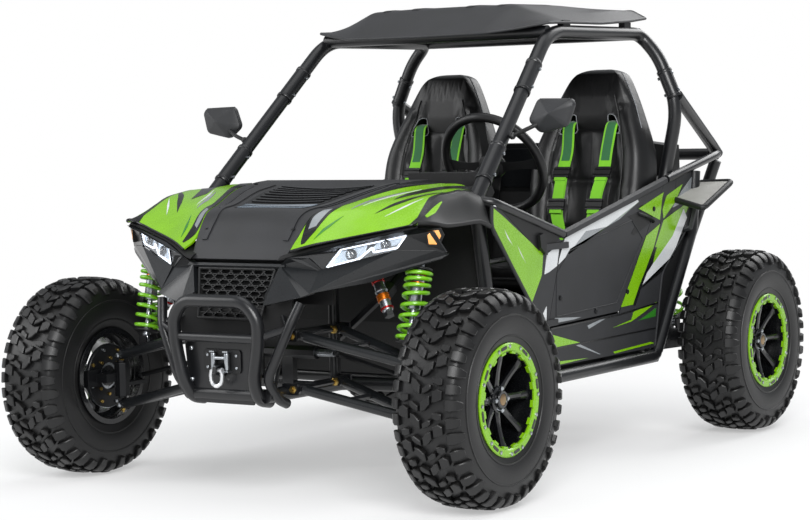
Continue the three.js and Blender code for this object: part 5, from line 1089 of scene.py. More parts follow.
def buildGrille():
    top, low = np.array(grille["top"]), np.array(grille["low"])
    up = top - low
    parts = []
    pitchX, pitchUp = 2 * top[0] / grille["columns"], 1 / grille["rows"]

    def onPlane(x, share):
        return np.stack([x, low[1] + up[1] * share, low[2] + up[2] * share], axis=-1)

    corners = np.array([(-0.66, 0), (-0.34, 1), (0.34, 1), (0.66, 0), (0.34, -1), (-0.34, -1)])
    for row in range(grille["rows"]):
        share = (row + 0.5) * pitchUp
        half = low[0] + (top[0] - low[0]) * share
        count = grille["columns"] + row % 2
        for k in range(count):
            x = (k - (count - 1) / 2) * pitchX
            if abs(x) > half - pitchX * 0.3:
                continue
            outer = onPlane(
                np.clip(x + corners[:, 0] * pitchX * 0.86, -half, half),
                share + corners[:, 1] * pitchUp * 0.56
            )
            inner = onPlane(
                np.clip(x + corners[:, 0] * pitchX * 0.7, -half, half),
                share + corners[:, 1] * pitchUp * 0.42
            )
            back = np.array([0, grille["depth"], 0])
            loop = np.stack([outer, inner, inner + back, outer + back])
            faces = gridFaces(4, 6, True) + [[18 + j, 18 + (j + 1) % 6, (j + 1) % 6, j] for j in range(6)]
            parts.append(((loop.reshape(-1, 3), faces), "mouldedBlack"))
    corner = [(-low[0], 0), (low[0], 0), (top[0], 1), (-top[0], 1)]
    border = np.stack([onPlane(np.array(x), np.array(s)) for x, s in corner + corner[:1]])
    parts += [(tube(border[k : k + 2], 0.0045, 8), "mouldedBlack") for k in range(4)]
    # the backing and the radiator block after it are near-black: painted shade for the dark behind the grille
    backing = np.stack([onPlane(np.array(x), np.array(s)) for x, s in corner]) + [0, 0.016, 0]
    parts.append((slab(backing, (0, 0.002, 0)), "rotoMouldedLinerPaintedShade"))
    # the radiator behind it, a plain block, closes the view under the hood
    parts.append((block((-0.15, -1.04, 0.575), (0.15, -1.004, 0.744)), "rotoMouldedLinerPaintedShade"))
    piece("grille_dressed", "chassis", parts, ["grille"])


buildGrille()


# Headlights: a black bowl, a reflector made bright by a painted glow, two projectors, a lit stepped edge, and
# a clear cover
# places on a lamp are shares along it, from its inner edge to the outer one, and across it, from low to high
lampShape = {
    "outline": mm((296, -1038, 712), (336, -1002, 775), (530, -912, 816), (500, -932, 767)),
    "inset": (0.965, 0.9),
    "reflectors": (
        [(0.05, 0.12), (0.05, 0.8), (0.42, 0.82), (0.48, 0.3), (0.4, 0.12)],
        [(0.52, 0.45), (0.56, 0.84), (0.93, 0.84), (0.9, 0.42)],
    ),
    # each projector: its place and its radius in metres
    "projectors": ((0.27, 0.47, 0.0185), (0.72, 0.62, 0.0165)),
    "guide": [
        (0.03, 0.93), (0.965, 0.93), (0.955, 0.2), (0.62, 0.3), (0.54, 0.62), (0.46, 0.1), (0.035, 0.07),
        (0.03, 0.93),
    ],
    # the cover's rows: share across, and depth in metres
    "coverRows": ((0.05, 0.0015), (0.5, -0.002), (0.96, 0.0015)),
}


def buildHeadlight(side, turn):
    low, inner, outer, under = lampShape["outline"]

    def at(along, across, depth=0.0):
        # along runs from the inner edge to the outer one, across from the low edge to the top
        a = low + (inner - low) * across
        b = under + (outer - under) * across
        return a + (b - a) * along + np.array([0, depth, 0])

    def path(points, depth):
        return np.array([at(x, y, depth) for x, y in points])

    def plate(outline, depth, thick):
        return slab(path(outline, depth), (0, thick, 0))

    rect = [(0.0, 0.0), (0.0, 1.0), (1.0, 1.0), (1.0, 0.0), (0.0, 0.0)]
    parts = [(plate(rect[:4], 0.014, 0.025), black)]
    inset = [
        (0.5 + (x - 0.5) * lampShape["inset"][0], 0.5 + (y - 0.5) * lampShape["inset"][1])
        for x, y in rect
    ]
    for k in range(4):
        parts.append((plate(rect[k : k + 2] + inset[k : k + 2][::-1], 0.002, 0.014), black))
    # the reflectors' glow is a painted reflection
    parts += [(plate(outline, 0.009, 0.003), "reflectorWithPaintedGlow") for outline in lampShape["reflectors"]]
    for along, across, radius in lampShape["projectors"]:
        centre, aim = at(along, across, 0.01), (0.25, -1, 0.1)
        parts.append((boltHead(centre, aim, radius, 0.004, radius * 0.9, 0.006, 28), black))
        # the dome's profile is a quarter of an ellipse
        a = np.linspace(0, math.pi / 2 - 0.02, 7)
        dome = np.stack([radius * 0.82 * np.cos(a), 0.005 + radius * 0.5 * np.sin(a)], axis=1)
        dome = np.concatenate([[(0, 0.004)], dome, [(0, 0.005 + radius * 0.5)]])
        parts.append((turned(dome, centre, aim, 28), "clearLens"))
    guide = lampShape["guide"]
    parts += [(tube(path(ends, 0.006), 0.0034, 8), "litGuide") for ends in zip(guide[:-1], guide[1:])]
    # the reflector ribs glow too: painted reflection
    for x in np.linspace(0.12, 0.88, 5) * 0.42:
        rib = [(x, 0.14), (x + 0.01, 0.14), (x + 0.01, 0.8), (x, 0.8)]
        parts.append((plate(rib, 0.0075, 0.002), "reflectorWithPaintedGlow"))
    name = f"headlight_{side}"
    piece(name + "_dressed", "chassis", parts, [name], bevel=0.0006, turn=turn)
    rows = [path([(x, y) for x in (0.02, 0.34, 0.66, 0.98)], depth) for y, depth in lampShape["coverRows"]]
    cover = skin(refined(np.stack(rows), 6), 0.0012)
    piece(name + "_cover", "chassis", [(cover, "clearLens")], (), turn=turn)
    # the indicator under the lamp's outer end
    signal = mm(
        (584, -892, 812), (592, -882, 824), (604, -860, 826), (608, -852, 808), (600, -864, 782),
        (586, -888, 784)
    )
    surround = grown(signal, 1.35) + [0, 0.004, 0]
    parts = [(slab(signal, (-0.006, 0.012, 0)), "amberLens")]
    parts.append((slab(surround, (-0.012, 0.02, 0)), "mouldedBlack"))
    piece(f"indicator_{side}", "chassis", parts, (), bevel=0.0015, turn=turn)


bothSides(buildHeadlight)
print("front panels made")


# Side graphics: thin films on the flat of each panel, as outlines of (y, z) in mm on the plane of the door
sideFilms = {
    "door": [
        (white, 0.9, [
            (-92, 742), (-80, 758), (157, 806), (440, 862), (446, 854), (207, 779), (-40, 711), (-128, 672),
            (-122, 690)
        ]),
        (grey, 1.2, [(60, 772), (207, 779), (446, 854), (300, 800), (-50, 719), (-64, 700)]),
        (lime, 1.5, [(150, 762), (320, 812), (446, 854), (300, 806)]),
        ("mouldedBlack", 0.8, [
            (360, 807), (471, 820), (540, 797), (528, 775), (469, 756), (406, 739), (385, 745), (413, 766),
            (400, 792)
        ]),
        (grey, 1, [(-176, 480), (-157, 497), (18, 485), (-33, 481)]),
        (lime, 1, [(445, 830), (640, 880), (628, 862), (606, 782), (499, 814)]),
    ],
    "panel": [
        (lime, 0.9, [
            (-540, 880), (-477, 849), (-300, 752), (-228, 714), (-240, 644), (-306, 560), (-336, 590),
            (-452, 726), (-536, 822)
        ]),
        ("mouldedBlack", 1.1, [(-476, 863), (-265, 808), (-112, 762), (-150, 742), (-257, 725)]),
        (white, 1.5, [(-535, 884), (-528, 886), (-265, 811)]),
        (white, 1.3, [(-118, 742), (-204, 711), (-222, 646), (-194, 651), (-140, 668)]),
        (white, 1.3, [(-236, 518), (-212, 540), (-216, 490)]),
        # the next two small white strokes are painted highlights on the lime
        (white, 1.2, [(-470, 806), (-420, 752), (-452, 778)]),
        (white, 1.2, [(-392, 752), (-340, 690), (-372, 722)]),
        (black, 0.9, [(-500, 812), (-320, 562), (-222, 478), (-212, 470), (-340, 590), (-452, 746)]),
        (lime, 1, [(664, 868), (790, 903), (727, 839), (636, 786), (629, 818)]),
        (lime, 1, [
            (632, 778), (868, 847), (819, 801), (772, 770), (710, 723), (658, 676), (551, 632), (576, 686),
            (566, 688)
        ]),
        (lime, 1.1, [
            (500, 731), (607, 768), (555, 687), (491, 613), (441, 560), (391, 496), (303, 494), (392, 598)
        ]),
        (black, 1.3, [
            (616, 776), (632, 777), (564, 687), (579, 686), (540, 628), (460, 556), (408, 490), (392, 494),
            (441, 560), (491, 613), (552, 683)
        ]),
        (white, 1.4, [(795, 813), (822, 780), (703, 649), (464, 560), (500, 600), (705, 720)]),
        (grey, 1.3, [(866, 927), (782, 879), (708, 822), (850, 846)]),
        (black, 1.1, [(700, 640), (822, 772), (816, 742), (622, 597), (470, 552), (430, 545)]),
        (lime, 1, [(-176, 443), (6, 400), (-152, 400), (-170, 420)]),
        (lime, 1, [(240, 428), (379, 444), (394, 470), (572, 490), (474, 462), (379, 438)]),
        ("lacqueredDarkGreen", 1.1, [(430, 436), (560, 440), (566, 470), (500, 452)]),
        (lime, 1, [(-140, 351), (65, 342), (-138, 340)]),
        (lime, 1, [(240, 345), (520, 352), (548, 345), (250, 338)]),
        (grey, 1, [(60, 452), (190, 470), (196, 466), (70, 440)]),
        (grey, 1, [(-20, 392), (140, 346), (150, 346), (0, 396)]),
        (black, 1.3, [(-186, 466), (290, 472), (584, 490), (582, 484), (290, 466), (-184, 460)]),
        (black, 1.3, [(-150, 398), (560, 400), (560, 395), (-150, 393)]),
    ],
}
sidePlane, sunkMm = 0.6, 0.3


def flatFilm(outline, lift):
    # a thin plate on the side plane: it stands lift mm out of the panel, and is sunk into it by a hair
    return slab(onLevel(sidePlane * 1000 - sunkMm, *outline), ((lift + sunkMm) / 1000, 0, 0))


def doorTrim():
    # bolt heads, a latch lever in its recess and the crease that frames the middle of the door
    parts = []
    for y, z in mm((560, 824), (350, 545), (120, 496), (-120, 560)):
        parts.append((boltHead((sidePlane, y, z), (1, 0, 0), 0.009, 0.003, 0.0055, 0.005, 18), "blackSteel"))
    lever = mm((600, 442, 812), (609, 452, 808), (611, 520, 792), (609, 548, 780), (599, 552, 778))
    parts.append((tube(filleted(lever, 0.01, 5), 0.005, 10), "blackSteel"))
    crease = onLevel(
        600.5, (-56, 712), (391, 792), (472, 722), (268, 512), (-150, 500), (-140, 640), (-56, 712)
    )
    parts.append((tube(crease, 0.0022, 6), "mouldedCharcoal"))
    return parts


def panelTrim():
    hinge = onLevel(602, (-268, 776), (-240, 783), (-222, 752), (-236, 716), (-262, 736))
    # closes the frame's cut-out, which a straight cage leg behind the panel leaves empty here
    patch = onLevel(
        592, (700, 928), (790, 940), (770, 850), (690, 700), (640, 600), (560, 600), (590, 660), (650, 790)
    )
    # a black plate behind the gap at the panel's rear edge: painted shade for the dark seen through it
    shadePlate = onLevel(586, (868, 846), (822, 741), (622, 595), (556, 334), (560, 306), (862, 732), (888, 905))
    bracket = onLevel(598, (867, 857), (952, 846), (912, 814), (886, 740), (836, 735), (858, 803))
    # the rear mudguard: a pale flat inside a thick moulded edge
    flat = mm((594, 737, 853.5), (594, 956, 906.5), (720, 944, 910), (720, 710, 824))
    guard = mm((594, 958, 903), (724, 946, 907), (724, 706, 820), (594, 735, 850))
    arch = onLevel(598, (-540, 880), (-545, 818), (-462, 726), (-318, 566), (-190, 441), (-150, 336))
    rearEdge = onLevel(597, (876, 952), (868, 842), (822, 741), (622, 595), (556, 334))
    return [
        (slab(hinge, (0.012, 0, 0)), "mouldedBlack"),
        (slab(patch, (0.0074, 0, 0)), "mouldedCharcoal"),
        (slab(shadePlate, (0.006, 0, 0)), "mouldedBlack"),
        (tube(filleted(arch, 0.03, 4), 0.0065, 10), "mouldedCharcoal"),
        (tube(filleted(rearEdge, 0.03, 4), 0.006, 10), "mouldedCharcoal"),
        (tube(filleted(guard, 0.02, 4), 0.011, 14), "mouldedBlack"),
        (slab(bracket, (0.01, 0, 0)), "satinBlack"),
        (slab(flat, (0, 0, 0.001)), "brushedSheet"),
    ]


def buildSideFilms(side, turn):
    for holder, body, trim in (("door", f"door_{side}", doorTrim), ("panel", "chassis", panelTrim)):
        parts = [(flatFilm(outline, lift), look) for look, lift, outline in sideFilms[holder]] + trim()
        piece(f"{holder}_{side}_films", body, parts, (), angle=30, turn=turn)


bothSides(buildSideFilms)
print("side panels made")


# Roof: a smooth moulded lid with a dropped visor, side wings and two long ribs
roofSteps = (61, 81)
roofTable = np.stack([
    mm((0, -50, 1448), (140, -50, 1449), (273, -47, 1450), (372, 0, 1462), (474, 54, 1480)),
    mm((0, 45, 1502), (145, 45, 1502), (286, 47, 1501), (382, 80, 1492), (476, 104, 1482)),
    mm((0, 138, 1553), (150, 138, 1553), (300, 138, 1550), (392, 160, 1516), (477, 180, 1484)),
    mm((0, 420, 1560), (155, 420, 1560), (310, 420, 1554), (400, 420, 1518), (478, 420, 1486)),
    mm((0, 640, 1550), (160, 640, 1550), (318, 640, 1548), (404, 640, 1540), (474, 650, 1500)),
    mm((0, 790, 1532), (162, 790, 1532), (322, 785, 1540), (408, 780, 1542), (472, 765, 1512)),
])


def buildRoof():
    whole = np.concatenate([mirrored(roofTable[:, :0:-1]), roofTable], axis=1)
    # creases stay crisp: each span is split evenly, and only slightly rounded by two passes of averaging
    rows, columns = np.meshgrid(*(np.linspace(0, 1, n) for n in roofSteps), indexing="ij")
    grid = sampled(whole, rows, columns)
    for _ in range(2):
        grid[1:-1] = (grid[:-2] + 2 * grid[1:-1] + grid[2:]) / 4
        grid[:, 1:-1] = (grid[:, :-2] + 2 * grid[:, 1:-1] + grid[:, 2:]) / 4
    parts = [(skin(grid, 0.006), "mouldedCharcoal")]
    for way in (1, -1):
        for column, half in ((0.5 + way * 0.095, 0.012), (0.5 + way * 0.2, 0.01)):
            a = [(r, column - half) for r in (0.38, 0.6, 0.95)]
            b = [(r, column + half) for r in (0.38, 0.6, 0.95)]
            parts.append((overlay(grid, a, b, 0.0025, 0.004, (30, 6)), "mouldedCharcoal"))
    border = np.concatenate([grid[0], grid[1:, -1], grid[-1, -2::-1], grid[-2:0:-1, 0], grid[:1, 0]])
    parts.append((tube(border - [0, 0, 0.003], 0.0052, 10), "mouldedCharcoal"))
    for way in (1, -1):
        for y in (0.2, 0.4, 0.62):
            place = np.array([way * 0.452, y, 1.484])
            parts.append((boltHead(place, (way * 0.3, 0, 1), 0.011, 0.006, 0.006, 0.009, 14), "blackSteel"))
        pad = cage["hoop"][1:3] * [way, 1, 1]
        for share in (1 / 6, 5 / 6):
            foot = pad[0] + (pad[1] - pad[0]) * share
            parts.append((block(foot + [-0.012, -0.024, 0.018], foot + [0.012, 0.024, 0.04]), "blackSteel"))
    piece("roof_dressed", "chassis", parts, ["roof_panel"], angle=30)


buildRoof()


# Seats: a bucket covered in sewn vinyl, swept along its spine, with channels, piping and two strap slots
seat = {
    "spine": mm(
        (0, 36, 604), (0, 60, 572), (0, 250, 566), (0, 430, 566), (0, 560, 600), (0, 612, 720),
        (0, 640, 860), (0, 668, 1003), (0, 700, 1150), (0, 722, 1270), (0, 728, 1325)
    ),
    "x": 0.326,
    "width": 0.488,
    "half": np.array([0.42, 0.44, 0.46, 0.47, 0.48, 0.48, 0.5, 0.49, 0.37, 0.25, 0.17]),
    "deep": np.array([0.05, 0.16, 0.19, 0.2, 0.24, 0.24, 0.23, 0.22, 0.19, 0.17, 0.12]),
    "hollow": np.array([1.0, 0.8, 0.72, 0.66, 0.6, 0.52, 0.48, 0.5, 0.85, 1.0, 1.0]),
    "steps": 16,
    "across": 97,
    "seam": {"depth": 0.0055, "width": 0.0045},
    "crown": 0.007,
    "cloth": {"pressure": 4.0, "quality": 6, "mass": 0.3, "slack": 0.003, "frames": 20, "cap": 0.006},
    "bolsterSeam": 0.6,
    "crossSeams": (2.0, 3.55, 5.2, 6.35, 7.62),
    "slot": mm((65, 0, 1099), (122, 0, 1096), (118, 0, 1120), (98, 0, 1156), (86, 0, 1162), (67, 0, 1162)),
    "slotDepth": 0.165,
}


def seatRings():
    # base line, half width, depth and hollow read along the spine; out is square to it in the y-z plane
    base = curved(seat["spine"], seat["steps"])
    s = np.linspace(0, len(seat["spine"]) - 1, len(base))
    half, deep, hollow = (
        curved(seat[key][:, None], seat["steps"])[:, 0]
        for key in ("half", "deep", "hollow")
    )
    half, deep = half * seat["width"], deep * seat["width"]
    heading = unit(np.gradient(base, axis=0))
    out = np.stack([np.zeros(len(base)), -heading[:, 2], heading[:, 1]], axis=1)
    # the ends are rounded: the last stations shrink as a quarter circle
    ends = np.minimum(np.arange(len(base)), np.arange(len(base))[::-1]) / 8.0
    shrink = np.sqrt(np.clip(1 - (1 - np.clip(ends, 0, 1)) ** 2, 0.02, 1))
    return s, base, half * (0.35 + 0.65 * shrink), deep * (0.25 + 0.75 * shrink), np.clip(hollow, 0, 1), out


def seatFront(hollow, u):
    # the share of full depth across the seat: a hollow middle, a slope, then a rounded bolster that falls off
    a = np.abs(u)[None, :]
    h = hollow[:, None]
    rise = np.clip((a - 0.3) / 0.4, 0, 1)
    rise = rise * rise * (3 - 2 * rise)
    shape = h + (1 - h) * rise
    fall = np.clip((a - 0.8) / 0.2, 0, 1)
    return shape * np.sqrt(np.clip(1 - fall**2 * 0.94, 0, 1))


def puffed(points, faces, held):
    # the closed form is blown up as cloth for twenty frames, with its seams and hidden back held,
    # and no point may move further than the cap: move * min(1, cap / length of the move)
    mesh = bpy.data.meshes.new("puff")
    mesh.from_pydata(points.tolist(), [], faces)
    work = bmesh.new()
    work.from_mesh(mesh)
    bmesh.ops.recalc_face_normals(work, faces=work.faces)
    work.to_mesh(mesh)
    work.free()
    thing = added("puff", mesh)
    group = thing.vertex_groups.new(name="held")
    group.add(np.flatnonzero(held).tolist(), 1.0, "REPLACE")
    cloth = thing.modifiers.new("cloth", "CLOTH")
    look = cloth.settings
    look.quality, look.mass = seat["cloth"]["quality"], seat["cloth"]["mass"]
    look.use_pressure, look.uniform_pressure_force = True, seat["cloth"]["pressure"]
    look.shrink_min = -seat["cloth"]["slack"]
    look.vertex_group_mass = "held"
    look.effector_weights.gravity = 0
    cloth.point_cache.frame_start, cloth.point_cache.frame_end = 1, seat["cloth"]["frames"]
    for step in range(1, seat["cloth"]["frames"] + 1):
        bpy.context.scene.frame_set(step)
    blown = thing.evaluated_get(bpy.context.evaluated_depsgraph_get()).to_mesh()
    out = np.zeros(len(points) * 3)
    blown.vertices.foreach_get("co", out)
    move = out.reshape(-1, 3) - points
    length = np.linalg.norm(move, axis=1, keepdims=True)
    print("seat puffed by up to", round(float(length.max()), 4), "m")
    bpy.data.objects.remove(thing)
    bpy.context.scene.frame_set(1)
    return points + move * np.minimum(1, seat["cloth"]["cap"] / np.maximum(length, 1e-9))


def seatForm():
    # the left seat's rings: a front of many columns, then thirteen points round the back
    s, base, half, deep, hollow, out = seatRings()
    even = np.linspace(-1, 1, seat["across"])
    u = 0.65 * even + 0.35 * np.sin(even * math.pi / 2)
    depth = seatFront(hollow, u) * deep[:, None]
    seam, crown = seat["seam"], seat["crown"]
    onMiddle = np.clip(1 - (np.abs(u) / seat["bolsterSeam"]) ** 2, 0, 1)[None]
    reach = np.clip(np.minimum(s - 0.9, 8.3 - s) * 2, 0, 1)[:, None]
    pastSeam = np.abs(u)[None] - seat["bolsterSeam"]
    groove = np.exp(-((pastSeam * half[:, None] / seam["width"]) ** 2)) * reach
    bolster = np.clip(pastSeam / (1 - seat["bolsterSeam"]), 0, 1)
    depth += crown * 0.7 * np.sin(bolster * math.pi) * reach
    pitch = np.linalg.norm(np.gradient(base, axis=0), axis=1) / np.gradient(s)
    inner = np.clip(-pastSeam * 30, 0, 1)
    rows = (0.6,) + seat["crossSeams"]
    cross = np.zeros_like(depth)
    for row in seat["crossSeams"]:
        cross = np.maximum(cross, inner * np.exp(-(((s - row) * pitch / seam["width"]) ** 2))[:, None])
    for low, high in zip(rows[:-1], rows[1:]):
        swell = np.sin(np.clip((s - low) / (high - low), 0, 1) * math.pi)[:, None]
        depth += crown * np.sqrt(swell) * onMiddle * inner
    # a faint crease runs down the middle panel of the backrest
    line = np.exp(-((u[None] * half[:, None] / 0.004) ** 2)) * ((s > 5.25) & (s < 7.5))[:, None]
    seams = np.maximum(groove, cross)
    depth -= seam["depth"] * seams + 0.0022 * line

    def raised(across, rise):
        # each ring's points: base line + share across * half the width along x + rise outwards
        x = across * half[:, None] + seat["x"]
        return base[:, None] + np.stack([x, 0 * x, 0 * x], axis=-1) + out[:, None] * rise[..., None]

    front = raised(u, depth)
    w = np.array([1, 0.985, 0.94, 0.84, 0.7, 0.4, 0, -0.4, -0.7, -0.84, -0.94, -0.985, -1])
    low = np.array([0.11, 0.06, 0.02, 0.004, 0, 0, 0, 0, 0, 0.004, 0.02, 0.06, 0.11])
    rings = np.concatenate([front, raised(w, low * deep[:, None])], axis=1)
    points, faces = lofted(rings)
    held = np.ones(rings.shape[:2], dtype=bool)
    marked = np.maximum(seams, line) >= 0.35
    held[8:-8, 2 : seat["across"] - 2] = marked[8:-8, 2:-2]
    held = np.concatenate([held.ravel(), np.ones(len(points) - held.size, dtype=bool)])
    points = puffed(np.array(points), faces, held)
    front = points[: rings.shape[0] * rings.shape[1]].reshape(rings.shape)[:, : seat["across"]]
    return points, faces, front, u, half, out


seatMade = seatForm()


def onSeat(row, across, lift):
    # the place on the left seat's face at a row of its spine and a share across it, lifted off it
    _, _, front, u, _, out = seatMade
    i = int(round(row * seat["steps"]))
    j = int(np.argmin(np.abs(u - across)))
    return front[i, j] + out[i] * lift


def buildSeat(side, turn):
    points, faces, front, u, half, _ = seatMade
    parts = [((points, faces), "sewnVinyl")]
    shell = piece(f"seat_{side}_dressed", "chassis", parts, [f"seat_{side}"], angle=60, turn=turn)
    # the strap slots are deep pockets, each a leaning four-sided hole with rounded corners
    slots = []
    for way in (1, -1):
        outline = seat["slot"] * [way, 1, 1] + [seat["x"], 0.5, 0]
        ring = rounded(outline, 0.009, 5)[:-1]
        slots.append((slab(ring, (0, seat["slotDepth"], 0)), "rotoMouldedLinerPaintedShade"))
    cutter = piece(f"slot_cutter_{side}", None, slots, turn=turn)
    cut = shell.modifiers.new("slots", "BOOLEAN")
    cut.object, cut.operation, cut.solver = cutter, "DIFFERENCE", "EXACT"
    depsgraph = bpy.context.evaluated_depsgraph_get()
    made = bpy.data.meshes.new_from_object(shell.evaluated_get(depsgraph))
    shell.modifiers.clear()
    shell.data = made
    made.shade_smooth()
    made.set_sharp_from_angle(angle=math.radians(50))
    bpy.data.objects.remove(cutter)
    # piping: along both bolster seams, round each slot and over the headrest's edge
    parts = []
    for way in (1, -1):
        seam, edge = way * (seat["bolsterSeam"] + 0.015), way * 0.955
        line = np.array([onSeat(row, seam, 0.0022) for row in np.arange(1.0, 8.55, 0.125)])
        parts.append((tube(curved(line, 2), 0.0021, 8), "sewnVinyl"))
        line = np.array([onSeat(row, edge, 0.001) for row in np.arange(7.6, 9.8, 0.125)])
        parts.append((tube(curved(line, 2), 0.0018, 8), "greyPiping"))
        outline = grown(seat["slot"], 1.06) * [way, 1, 1]
        ring = rounded(outline, 0.01, 6)
        mid = slice(int(6.9 * seat["steps"]), int(9.2 * seat["steps"]))
        spots = []
        for p in ring:
            x = u[None] * half[mid, None]
            near = (x - p[0]) ** 2 + (front[mid, :, 2] - p[2]) ** 2
            i, j = np.unravel_index(np.argmin(near), near.shape)
            spots.append([p[0] + seat["x"], front[mid][i, j, 1] - 0.0015, p[2]])
        parts.append((tube(np.array(spots), 0.0017, 8), "greyPiping"))
    piece(f"seat_{side}_piping", "chassis", parts, (), turn=turn)
    feet = []
    for way in (1, -1):
        x = seat["x"] + way * seat["width"] / 4
        feet.append((block((x - 0.015, 0.082, 0.506), (x + 0.015, 0.395, 0.52)), "blackSteel"))
        feet.append((block((x - 0.01, 0.1, 0.518), (x + 0.01, 0.38, 0.575)), "blackSteel"))
    piece(f"seat_{side}_rails", "chassis", feet, (), bevel=0.0015, turn=turn)


def ribbon(line, outward, width, thick):
    # a strap's section swept along a line, its width along x and its thickness along the outward direction
    half = np.array([width / 2, 0, 0])
    edge = np.array([width / 2 - thick / 2, 0, 0])
    rise = outward * thick / 2
    upper, lower = [line - edge + rise, line + edge + rise], [line + edge - rise, line - edge - rise]
    return lofted(np.stack([line - half, *upper, line + half, *lower], axis=1))


# Harness: two shoulder straps from the slots to the buckle and a lap strap, with adjusters and a lime border.
# A route's stations are (row on the seat's spine, share across, lift off its face)
harness = {
    "width": 0.05,
    "thick": 0.0032,
    "route": (
        (7.7, 0.43, 0.011), (7.35, 0.385, 0.018), (7.0, 0.35, 0.034), (6.5, 0.335, 0.06), (6.0, 0.32, 0.08),
        (5.5, 0.31, 0.088), (5.0, 0.28, 0.078), (4.5, 0.23, 0.052), (4.0, 0.16, 0.022), (3.6, 0.08, 0.011),
    ),
    "lapRoute": (
        (3.45, 0.04, 0.014), (3.5, 0.2, 0.012), (3.55, 0.36, 0.012), (3.62, 0.52, 0.012), (3.7, 0.66, 0.011)
    ),
    "padEnd": 0.985,
    "pad": {"widthShare": 0.7, "thick": 0.0026, "lift": 0.0016},
    "tail": {"widthShare": 0.9, "thick": 0.0026, "lift": 0.0042, "from": 6, "to": 18},
    "adjusters": {
        "heights": (0.955, 0.845), "half": (0.033, 0.021), "thick": 0.008, "rung": 0.0026,
        "flap": (0.024, 0.002, 0.034)
    },
    "buckle": [
        (0, -0.006), (0.032, -0.006), (0.034, 0.0), (0.034, 0.012), (0.03, 0.017), (0.018, 0.02), (0, 0.02)
    ],
    "button": [(0, 0.018), (0.014, 0.018), (0.014, 0.0225), (0, 0.0225)],
}


def adjusterParts(centre, along, outward):
    # a black frame with two rungs, and the strap's flap that folds down over it
    size = harness["adjusters"]
    wide, long = size["half"]
    across = np.array([1.0, 0, 0])
    corners = [
        centre + across * x * wide + along * y * long
        for x, y in ((-1, -1), (1, -1), (1, 1), (-1, 1))
    ]
    face = rounded(np.array(corners), 0.005, 4)[:-1]
    parts = [(slab(face + outward * 0.002, outward * size["thick"]), "mouldedBlack")]
    for step in (-0.5, 0.5):
        middle = centre + outward * 0.0105 + along * long * step
        rung = np.array([middle - across * wide, middle + across * wide])
        parts.append((tube(rung, size["rung"], 8), "blackSteel"))
    half, low, high = size["flap"]
    flap = [
        centre + across * x + along * y
        for x, y in ((-half, low), (half, low), (half, high), (-half, high))
    ]
    return parts + [(slab(np.array(flap) + outward * 0.0065, outward * 0.003), "limeWebbing")]


def shoulderStrap(way):
    # the route from the slot down to the buckle, smoothed, and the pad, adjusters and tail that lie on it
    width = harness["width"]
    line = np.array([onSeat(row, way * across, lift) for row, across, lift in harness["route"]])
    line = curved(np.concatenate([line[:1] + [0, 0.08, 0.012], line[:1] + [0, 0.028, 0.012], line]), 8)
    for _ in range(6):
        line[1:-1] = (line[:-2] + 2 * line[1:-1] + line[2:]) / 4
    tangent = np.gradient(line, axis=0)
    outward = unit(np.cross(tangent, [1.0, 0, 0]))
    outward *= -np.sign(outward[len(outward) // 2, 1])
    nearest = lambda height: int(np.argmin(np.abs(line[:, 2] - height)))

    def layer(span, size):
        raised = line[span] + outward[span] * size["lift"]
        return ribbon(raised, outward[span], width * size["widthShare"], size["thick"])

    pad, tail, cutAt = harness["pad"], harness["tail"], nearest(harness["padEnd"])
    parts = [(ribbon(line, outward, width, harness["thick"]), "limeWebbing")]
    parts.append((layer(slice(2, cutAt), pad), "darkGreenWebbing"))
    for height in harness["adjusters"]["heights"]:
        k = nearest(height)
        parts += adjusterParts(line[k], unit(tangent)[k], outward[k])
    parts.append((layer(slice(cutAt + tail["from"], cutAt + tail["to"]), tail), "limeWebbing"))
    return parts


def lapStrap(way):
    # its width runs square to the route and to the lap's slope
    lap = curved(np.array([onSeat(row, way * across, lift) for row, across, lift in harness["lapRoute"]]), 6)
    along = np.gradient(lap, axis=0)
    across = unit(np.cross(along, [0, -0.45, 0.9]))
    outward = unit(np.cross(across, along))
    outward *= np.sign(outward[:, 2:3])
    w, h = across * harness["width"] / 2, outward * harness["thick"] / 2
    return lofted(np.stack([lap - w - h, lap + w - h, lap + w + h, lap - w + h], axis=1)), "limeWebbing"


def buildHarness(side, turn):
    parts = shoulderStrap(1) + shoulderStrap(-1) + [lapStrap(1), lapStrap(-1)]
    middle, up = onSeat(3.45, 0, 0.016), (0, -0.35, 0.94)
    parts.append((turned(harness["buckle"], middle, up, 28), "blackSteel"))
    parts.append((turned(harness["button"], middle, up, 24), "anodisedRed"))
    name = f"harness_{side}"
    piece(name + "_dressed", "chassis", parts, [name], bevel=0.0004, angle=40, turn=turn)


def buildSeatSet(side, turn):
    buildSeat(side, turn)
    buildHarness(side, turn)


bothSides(buildSeatSet)
print("roof, seats and harnesses made")


# Steering wheel: a padded rim with grips, three spokes, a hub pad and the column
wheelShape = {
    "centre": (0.326, -0.075, 1.005), "towards": (0, math.sin(math.radians(60)), 0.5),
    "radius": 0.182, "tube": 0.0155, "round": 96, "sides": 18,
    # a spoke's stations: how far out, half its width, and how far in front of the rim
    "spoke": ((0.03, 0.024, -0.02), (0.075, 0.017, -0.014), (0.125, 0.016, -0.006), (0.172, 0.024, 0.0)),
    # profiles of (radius, distance in front of the rim), with their finish and how many sides they have
    "turned": (
        ("mouldedBlack", 40, (
            (0, -0.05), (0.03, -0.05), (0.034, -0.03), (0.046, -0.022), (0.05, -0.006), (0.044, 0.006),
            (0.026, 0.012), (0, 0.013)
        )),
        (black, 32, ((0, 0.012), (0.017, 0.012), (0.018, 0.015), (0.012, 0.017), (0, 0.017))),
        ("blackSteel", 24, ((0, -0.768), (0.0137, -0.768), (0.0137, -0.045), (0, -0.045))),
        ("mouldedBlack", 28, (
            (0.0139, -0.2), (0.026, -0.19), (0.034, -0.07), (0.03, -0.052), (0.0139, -0.05), (0.0139, -0.2)
        )),
    ),
}


